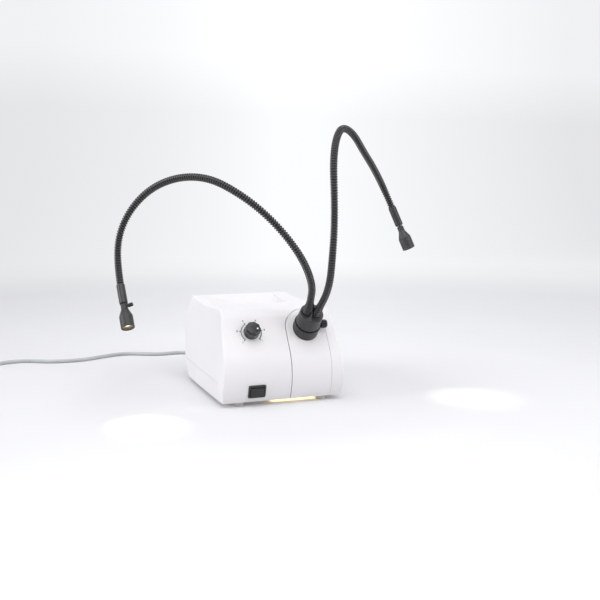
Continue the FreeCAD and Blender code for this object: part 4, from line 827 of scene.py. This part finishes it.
rocker_points = []
rocker_faces = []
rocker_line = ROCKER_CELLS + 1
# Steps from -1 to 1 that come closer together towards both ends.
steps = [sin((2 * k / ROCKER_CELLS - 1) * pi / 2) for k in range(rocker_line)]
for v in steps:
    for u in steps:
        x, y = ROCKER_HALF_WIDTH * u, ROCKER_HALF_HEIGHT * v
        rocker_points.append((x, y, rocker_level(x, y)))
for row in range(ROCKER_CELLS):
    for a in range(row * rocker_line, row * rocker_line + ROCKER_CELLS):
        rocker_faces.append((a, a + 1, a + rocker_line + 1, a + rocker_line))
rim = list(range(ROCKER_CELLS))
rim += [(row + 1) * rocker_line - 1 for row in range(ROCKER_CELLS)]
rim += [rocker_line ** 2 - 1 - column for column in range(ROCKER_CELLS)]
rim += [(ROCKER_CELLS - row) * rocker_line for row in range(ROCKER_CELLS)]
skirt = len(rocker_points)
foot_width, foot_height, foot_level = ROCKER_FOOT
for index in rim:
    x, y, _ = rocker_points[index]
    rocker_points.append((foot_width * x, foot_height * y, foot_level))
for k in range(len(rim)):
    after = (k + 1) % len(rim)
    rocker_faces.append((rim[after], rim[k], skirt + k, skirt + after))
piece("rocker_cap", mesh_of(rocker_points, rocker_faces, switch), BLACK, "rocker",
      ["switch_rocker"], 40)


# ---------------------------------------------------------------- light port

COLLAR_RADIUS = 20.5
COLLAR_TOP = 13
collar_outline = rounded([
    (COLLAR_RADIUS, -7), (COLLAR_RADIUS, COLLAR_TOP, 0.9), (17.4, COLLAR_TOP, 0.4), (17.3, 12.2),
    (12.6, 12.2), (12.6, -12),
])
piece("port_ring", turned(collar_outline, port, 120), MATT_BLACK, "lamp_drawer",
      ["port_collar"])

GUIDE_TURN = -28
CUP_LOW = 15.6
CUP_TOP = 39
CUP_FOOT_RADIUS = 19
CUP_RADIUS = 18
NECK_RADIUS = 17
CUP_SEGMENTS = 180
CUP_RINGS = 44
HOLLOW_DEPTH = 1.3
HOLLOW_SLOPE = 0.6
# Centre, half width, half length and turn of the hollow round each hose.
HOLLOWS = [((-7.2, -2.2), 8.4, 14.2, -20), ((7.6, -2.6), 9.4, 15.0, 14)]
CROWN_RISE = 0.6
CROWN_FALL = 1.2
WEB_RISE = 14
WEB_HALF = 1.5
# The web climbs over the first pair of y values and drops to nothing over the second, from -5 to 1.
WEB_FRONT = (-16.5, 1.5)
WEB_BACK = (1, -5)
guide =turned_by(port, GUIDE_TURN)


def cup_level(x, y):
    """Level of the cup's top, with a hollow round each hose and a thin web between the two."""
    drop = 0
    for (middle_x, middle_y), half_width, half_length, turn in HOLLOWS:
        c, s = cos(radians(turn)), sin(radians(turn))
        across = (x - middle_x) * c + (y - middle_y) * s
        length = (y - middle_y) * c - (x - middle_x) * s
        share = math.hypot(across / half_width, length / half_length)
        inside = clamped((1 - share) / HOLLOW_SLOPE)
        drop = max(drop, inside * (2 - inside))
    crown = CUP_TOP + CROWN_RISE - CROWN_FALL * (math.hypot(x, y) / CUP_RADIUS) ** 4
    web = math.exp(-(x / WEB_HALF) ** 2)
    crest = WEB_RISE * share_of(y, *WEB_FRONT) * share_of(y, *WEB_BACK)
    return crown - HOLLOW_DEPTH * drop * (1 - web) + crest * web


cup_wall = rounded([
    (NECK_RADIUS, COLLAR_TOP - 1.5), (NECK_RADIUS, CUP_LOW), (CUP_FOOT_RADIUS, CUP_LOW, 0.4),
    (18.7, CUP_LOW + 6, 2), (CUP_RADIUS + 0.1, CUP_TOP - 5, 2), (CUP_RADIUS, CUP_TOP - 1.6),
])
cup_points = []
for radius, level in cup_wall:
    cup_points += [(x, y, level) for x, y in circle(radius, CUP_SEGMENTS)]
cup_points += [(x, y, cup_level(x, y) - 0.5) for x, y in circle(CUP_RADIUS - 0.25, CUP_SEGMENTS)]
for ring in range(CUP_RINGS - 1):
    radius = (CUP_RADIUS - 0.7) * (1 - ring / (CUP_RINGS - 0.5))
    cup_points += [(x, y, cup_level(x, y)) for x, y in circle(radius, CUP_SEGMENTS)]
cup_faces = tube_faces(len(cup_wall) + CUP_RINGS, CUP_SEGMENTS)
piece("branch_cup", mesh_of(cup_points, cup_faces, guide), MATT_BLACK, "light_guide",
      ["y_connector"], 50)


def flutes(count, depth):
    """A ripple of rounded ridges with narrow grooves between them."""
    def ripple(angle, radius, height):
        return radius - depth * (1 - abs(cos(count * angle / 2))) * min(1, radius / 6)
    return ripple


wheel_outline = filled(rounded([
    (2.4, 20.6), (2.6, 21.4, 0.2), (5.4, 21.5, 0.4), (6.5, 22.6, 0.7), (6.7, 24, 0.6),
    (6.6, 29.6, 1.4), (5.2, 32.2, 1.2), (2.4, 32.5, 0.5), (2.2, 32.1, 0.2), (0, 32.1),
]), 0.7)
piece("clamp_wheel", turned(wheel_outline, clamp, 168, flutes(12, 1.9)), KNOB_BLACK,
      "collar_clamp", ["clamp_knob"], 50)


# ---------------------------------------------------------------- arms and lens heads

STUB_SPREAD = 5.6
STUB_TILT = 8
STUB_LENGTH = 24
ROOT_SINK = 8
ROOT_SWELL = {"left": 5.6, "right": 2.8}
ROOT_RUN = 32
ARM_RADIUS = 5.5
RIB_PITCH = 3.9
RIB_DEPTH = 1.7
RIB_RINGS = 12
SLEEVE_LENGTH = 32
SLEEVE_GRIP = 20
# Control points of each arm, from its mouth on the Y-connector.
LEFT_BENDS = [
    (-6, -25, 28), (-27, -46, 65), (-55, -50, 102), (-86, -40, 136), (-117, -17, 163),
    (-148, 16, 183), (-182, 56, 185), (-216, 94, 169), (-244, 118, 136), (-261, 123, 96),
    (-264, 115, 50), (-261, 82, 0),
]
RIGHT_BENDS = [
    (2, -26, 28), (-2, -46, 73), (-3, -55, 116), (-3, -54, 160), (0, -42, 202), (10, -26, 237),
    (30, -2, 258), (59, 23, 251), (85, 42, 225), (113, 60, 198), (145.5, 84.5, 160.5),
    (160, 65, 110),
]
SLEEVE_OUTLINE = rounded([
    (5.4, -SLEEVE_LENGTH), (6.0, -SLEEVE_LENGTH, 0.2), (6.25, -31.4, 0.3), (6.25, -1.6, 0.3),
    (5.5, -0.2, 0.2), (4.1, -0.1),
])
HEAD_OUTLINE = rounded([
    (4.1, 0.1), (4.9, 0, 0.15), (5.15, 0.4, 0.15), (5.15, 7.6, 0.8), (9.7, 18.6, 1.2),
    (10, 19.8, 0.6), (10, 37.5, 0.4), (9.8, 38, 0.2), (8.5, 38, 0.15), (8.3, 37.8), (8.3, 33.9),
])
THROAT_OUTLINE = rounded([(8.3, 33.9), (8.3, 32.6), (8.3, 31.5), (7.8, 31.45), (7.75, 27.5)])
LENS_OUTLINE = rounded([
    (7.75, 27.4), (7.75, 31.6, 0.3), (6, 32.3, 2), (3, 32.7, 1), (0, 32.8),
])
THUMB_OUTLINE = rounded([
    (1.4, 4), (1.4, 6.1), (2.3, 6.2, 0.2), (2.9, 6.8, 0.3), (2.9, 13.2, 0.35), (2.5, 13.75, 0.3),
    (0, 13.8),
])


def stub_points(place, way):
    """Where an arm's straight root starts inside the cup, and its mouth, in the cup's frame."""
    lean = radians(STUB_TILT) * way
    root = moved(place, way * STUB_SPREAD, 0, CUP_TOP)
    axis = (root.to_3x3() @ Vector((sin(lean), 0, cos(lean)))).normalized()
    return root.translation - axis * ROOT_SINK * MM, root.translation + axis * STUB_LENGTH * MM


def gooseneck(side, way, bends, head_gap, barrel):
    """One ribbed arm with its sleeve, and the lens head on its tip."""
    slide = joints[f"{side}_lens_slide"]
    clamp_turn = joints[f"{side}_lens_clamp_turn"]
    axis = Vector(slide["axis"]).normalized()
    mouth = stub_points(port, way)[1]
    end = mouth + Vector(bends[-1]) * MM
    hose_end = end - axis * (SLEEVE_LENGTH - SLEEVE_GRIP) * MM
    bend_points = [mouth + Vector(bend) * MM for bend in bends[:-1]]
    route = [*stub_points(guide, way), *bend_points, hose_end]
    line, step = even_line(route_line(route), RIB_PITCH / RIB_RINGS * MM)

    def rib(index):
        travelled = index * step / MM
        groove = (0.5 + 0.5 * cos(2 * pi * travelled / RIB_PITCH)) ** 2
        swell = ROOT_SWELL[side] * clamped(1 - travelled / ROOT_RUN) ** 1.2
        return ARM_RADIUS + swell - RIB_DEPTH * groove

    piece(f"{side}_hose", swept(line, rib, 28), HOSE, "light_guide",
          [f"{side}_gooseneck"], 180)

    tip = frame_at(end, axis, clamp_turn["axis"])
    piece(f"{side}_sleeve", turned(SLEEVE_OUTLINE, tip, 64), SLEEVE, "light_guide",
          [f"{side}_end_sleeve"])

    head = moved(tip, z=head_gap)
    body = f"{side}_lens_head"
    piece(f"{side}_barrel", turned(HEAD_OUTLINE, head, 96), barrel, body,
          [f"{side}_lens_housing"])
    # The throat's wall carries the painted glow of the lens's light.
    piece(f"{side}_throat", turned(THROAT_OUTLINE, head, 96), PAINTED_THROAT_GLOW, body)
    piece(f"{side}_front_lens", turned(LENS_OUTLINE, head, 64), LENS_LIT, body,
          [f"{side}_lens"])

    screw = frame_at(Vector(clamp_turn["pos_m"]), clamp_turn["axis"], axis)
    piece(f"{side}_thumb", turned(THUMB_OUTLINE, screw, 120, flutes(20, 0.4)), BLACK,
          f"{side}_lens_clamp", [f"{side}_lens_screw"], 50)


gooseneck("left", -1, LEFT_BENDS, 0.6, MATT_BLACK)
gooseneck("right", 1, RIGHT_BENDS, 2.2, BARREL_GREY)


# ---------------------------------------------------------------- bench and backdrop

# All of this section is in metres.
BENCH_HALF_WIDTH = 6.0
BENCH_FRONT = -4.0
BENCH_BACK = 2.6
BEND_RADIUS = 1.2
WALL_TOP = 4.5
# The tone falls off to both sides of a line through the unit, turned by this much: a painted shade.
FALL_TURN = 20.37
FALL_SHIFT = -0.025
# How far the bench is its own plain tone and no longer shows how the lamps light it, by distance.
FAR = [(0, 0), (0.35, 0), (2.2, 1), (8, 1)]
# The tone that is added for the eye: more with distance and height, and less to the sides, where it is painted
# shade.
RISE = [(0, 0.09), (0.25, 0.11), (0.55, 0.28), (1.6, 0.66), (2.2, 0.94), (2.8, 0.98), (8, 0.98)]
TOP = [(0, 0), (0.8, 0), (1.15, 0.1), (4.5, 0.1)]
PAINTED_SIDE_SHADE = [(-4, 0.24), (-1.4, 0.2), (-0.8, 0.13), (-0.4, 0.06), (-0.12, 0), (0.16, 0), (0.4, 0.04),
        (0.9, 0.1), (1.9, 0.2), (4, 0.24)]


def bench_material():
    """Matt white whose far parts fade to a plain backdrop, by its place and never by more light, with painted
    shade to both sides.
    """
    shader = Shader("bench_white")
    shader.put("Roughness", 0.6)
    shader.put("Specular IOR Level", 0)
    seen = shader.add("ShaderNodeLightPath").outputs
    shown = shader.combine("MAXIMUM", seen["Is Camera Ray"], seen["Is Glossy Ray"])
    shown = shader.combine("MAXIMUM", shown, seen["Is Transmission Ray"])

    distance = shader.add("ShaderNodeVectorMath", operation="LENGTH")
    shader.link(shader.space, distance.inputs[0])
    distance = distance.outputs["Value"]
    tone = shader.add("ShaderNodeMix", data_type="RGBA")
    shader.link(shader.combine("MULTIPLY", shader.fit(distance, FAR), shown),
                tone.inputs["Factor"])
    shader.link(shader.ramp(shader.noise(3), (0.71, 0.71, 0.724), (0.73, 0.73, 0.744)),
                tone.inputs["A"])
    tone.inputs["B"].default_value = (0.04, 0.04, 0.041, 1)
    shader.put("Base Color", tone.outputs["Result"])

    turned_space = shader.add("ShaderNodeMapping")
    turned_space.inputs["Rotation"].default_value = (0, 0, radians(FALL_TURN))
    turned_space.inputs["Location"].default_value = (FALL_SHIFT, 0, 0)
    shader.link(shader.space, turned_space.inputs["Vector"])
    split = shader.add("ShaderNodeSeparateXYZ")
    shader.link(turned_space.outputs["Vector"], split.inputs["Vector"])
    lift = shader.combine("ADD", shader.fit(distance, RISE), shader.fit(split.outputs["Z"], TOP))
    # Painted shade: the tone is taken down to both sides.
    lift = shader.combine("SUBTRACT", lift, shader.fit(split.outputs["X"], PAINTED_SIDE_SHADE))
    shader.put("Emission Color", (0.97, 0.98, 1.0, 1))
    shader.put("Emission Strength", shader.combine("MULTIPLY", shown, lift))
    return shader.material


profile = [(BENCH_FRONT, 0), (0, 0), (BENCH_BACK, 0)]
for angle in (radians(6 * k) for k in range(1, 16)):
    profile.append((BENCH_BACK + BEND_RADIUS * sin(angle), BEND_RADIUS - BEND_RADIUS * cos(angle)))
profile.append((BENCH_BACK + BEND_RADIUS, WALL_TOP))
bench_points = [(x, y, z) for y, z in profile for x in (-BENCH_HALF_WIDTH, BENCH_HALF_WIDTH)]
bench_faces = [(2 * k, 2 * k + 1, 2 * k + 3, 2 * k + 2) for k in range(len(profile) - 1)]
bench_mesh = mesh_in_metres(bench_points, bench_faces)
for face in bench_mesh.polygons:
    face.use_smooth = True
bench_mesh.materials.append(bench_material())
bench = bpy.data.objects.new("bench", bench_mesh)
show(bench)


# ---------------------------------------------------------------- room and lamps

ROOM_COLOUR = (0.97, 0.975, 1.0, 1)
ROOM_SEEN = 0.9
world = bpy.data.worlds.new("room")
world.use_nodes = True
room = world.node_tree

# The room is darker in front of the unit, so that its front keeps its shape.
room_light = room.nodes["Background"]
room_light.inputs["Color"].default_value = ROOM_COLOUR
direction = room.nodes.new("ShaderNodeTexCoord")
split_direction = room.nodes.new("ShaderNodeSeparateXYZ")
room.links.new(direction.outputs["Generated"], split_direction.inputs["Vector"])
wall = room.nodes.new("ShaderNodeMapRange")
wall.interpolation_type = "SMOOTHSTEP"
for socket, value in (("From Min", -0.9), ("From Max", 0.1), ("To Min", 0.25), ("To Max", 0.78)):
    wall.inputs[socket].default_value = value
room.links.new(split_direction.outputs["Y"], wall.inputs["Value"])
room.links.new(wall.outputs["Result"], room_light.inputs["Strength"])

# What shows past the bench is one pale tone.
room_seen = room.nodes.new("ShaderNodeBackground")
room_seen.inputs["Color"].default_value = ROOM_COLOUR
room_seen.inputs["Strength"].default_value = ROOM_SEEN
ray = room.nodes.new("ShaderNodeLightPath")
choice = room.nodes.new("ShaderNodeMixShader")
room.links.new(ray.outputs["Is Camera Ray"], choice.inputs["Fac"])
room.links.new(room_light.outputs["Background"], choice.inputs[1])
room.links.new(room_seen.outputs["Background"], choice.inputs[2])
room.links.new(choice.outputs["Shader"], room.nodes["World Output"].inputs["Surface"])
bpy.context.scene.world = world


def lamp(name, kind, place, target, power, colour=(1, 1, 1), **values):
    """A lamp that points at its target and isn't seen itself; values are its other settings."""
    light =bpy.data.lights.new(name, kind)
    light.energy = power
    light.color = colour
    for key, value in values.items():
        setattr(light, key, value)
    thing = bpy.data.objects.new(name, light)
    thing.location = place
    thing.rotation_euler = (Vector(target) - Vector(place)).to_track_quat("-Z", "Y").to_euler()
    thing.visible_camera = False
    show(thing)


UNIT_MIDDLE = (0, 0, 0.2)
lamp("overhead", "AREA", (-0.3, -1.0, 2.2), (0, 0.1, 0), 29, shape="SQUARE", size=2.2)
lamp("left_box", "AREA", (-4.5, 0.4, 1.6), UNIT_MIDDLE, 78, shape="RECTANGLE", size=2.4,
     size_y=3.4)
lamp("right_box", "AREA", (3, -3.6, 1.9), UNIT_MIDDLE, 70, shape="RECTANGLE", size=2.2,
     size_y=3.2)

# Stray lamp light that comes out under the lamp drawer.
lamp("under_glow", "AREA", spot(23.5, 37, 2.5), spot(23.5, 37, 0), 0.02, (1, 0.74, 0.33),
     shape="RECTANGLE", size=0.071, size_y=0.042)

BEAM_START = 8
for side, cone_angle, power in (("left", 50, 0.3), ("right", 38, 0.45)):
    seat = Vector(mounts[f"{side}_filter_seat"]["pos_m"])
    way = Vector(mounts[f"{side}_filter_seat"]["axis"])
    lamp(f"{side}_beam", "SPOT", seat + way * BEAM_START * MM, seat + way, power, (1, 0.97, 0.9),
         spot_size=radians(cone_angle), spot_blend=0.7, shadow_soft_size=0.006)

bpy.context.scene.view_settings.view_transform = "Standard"
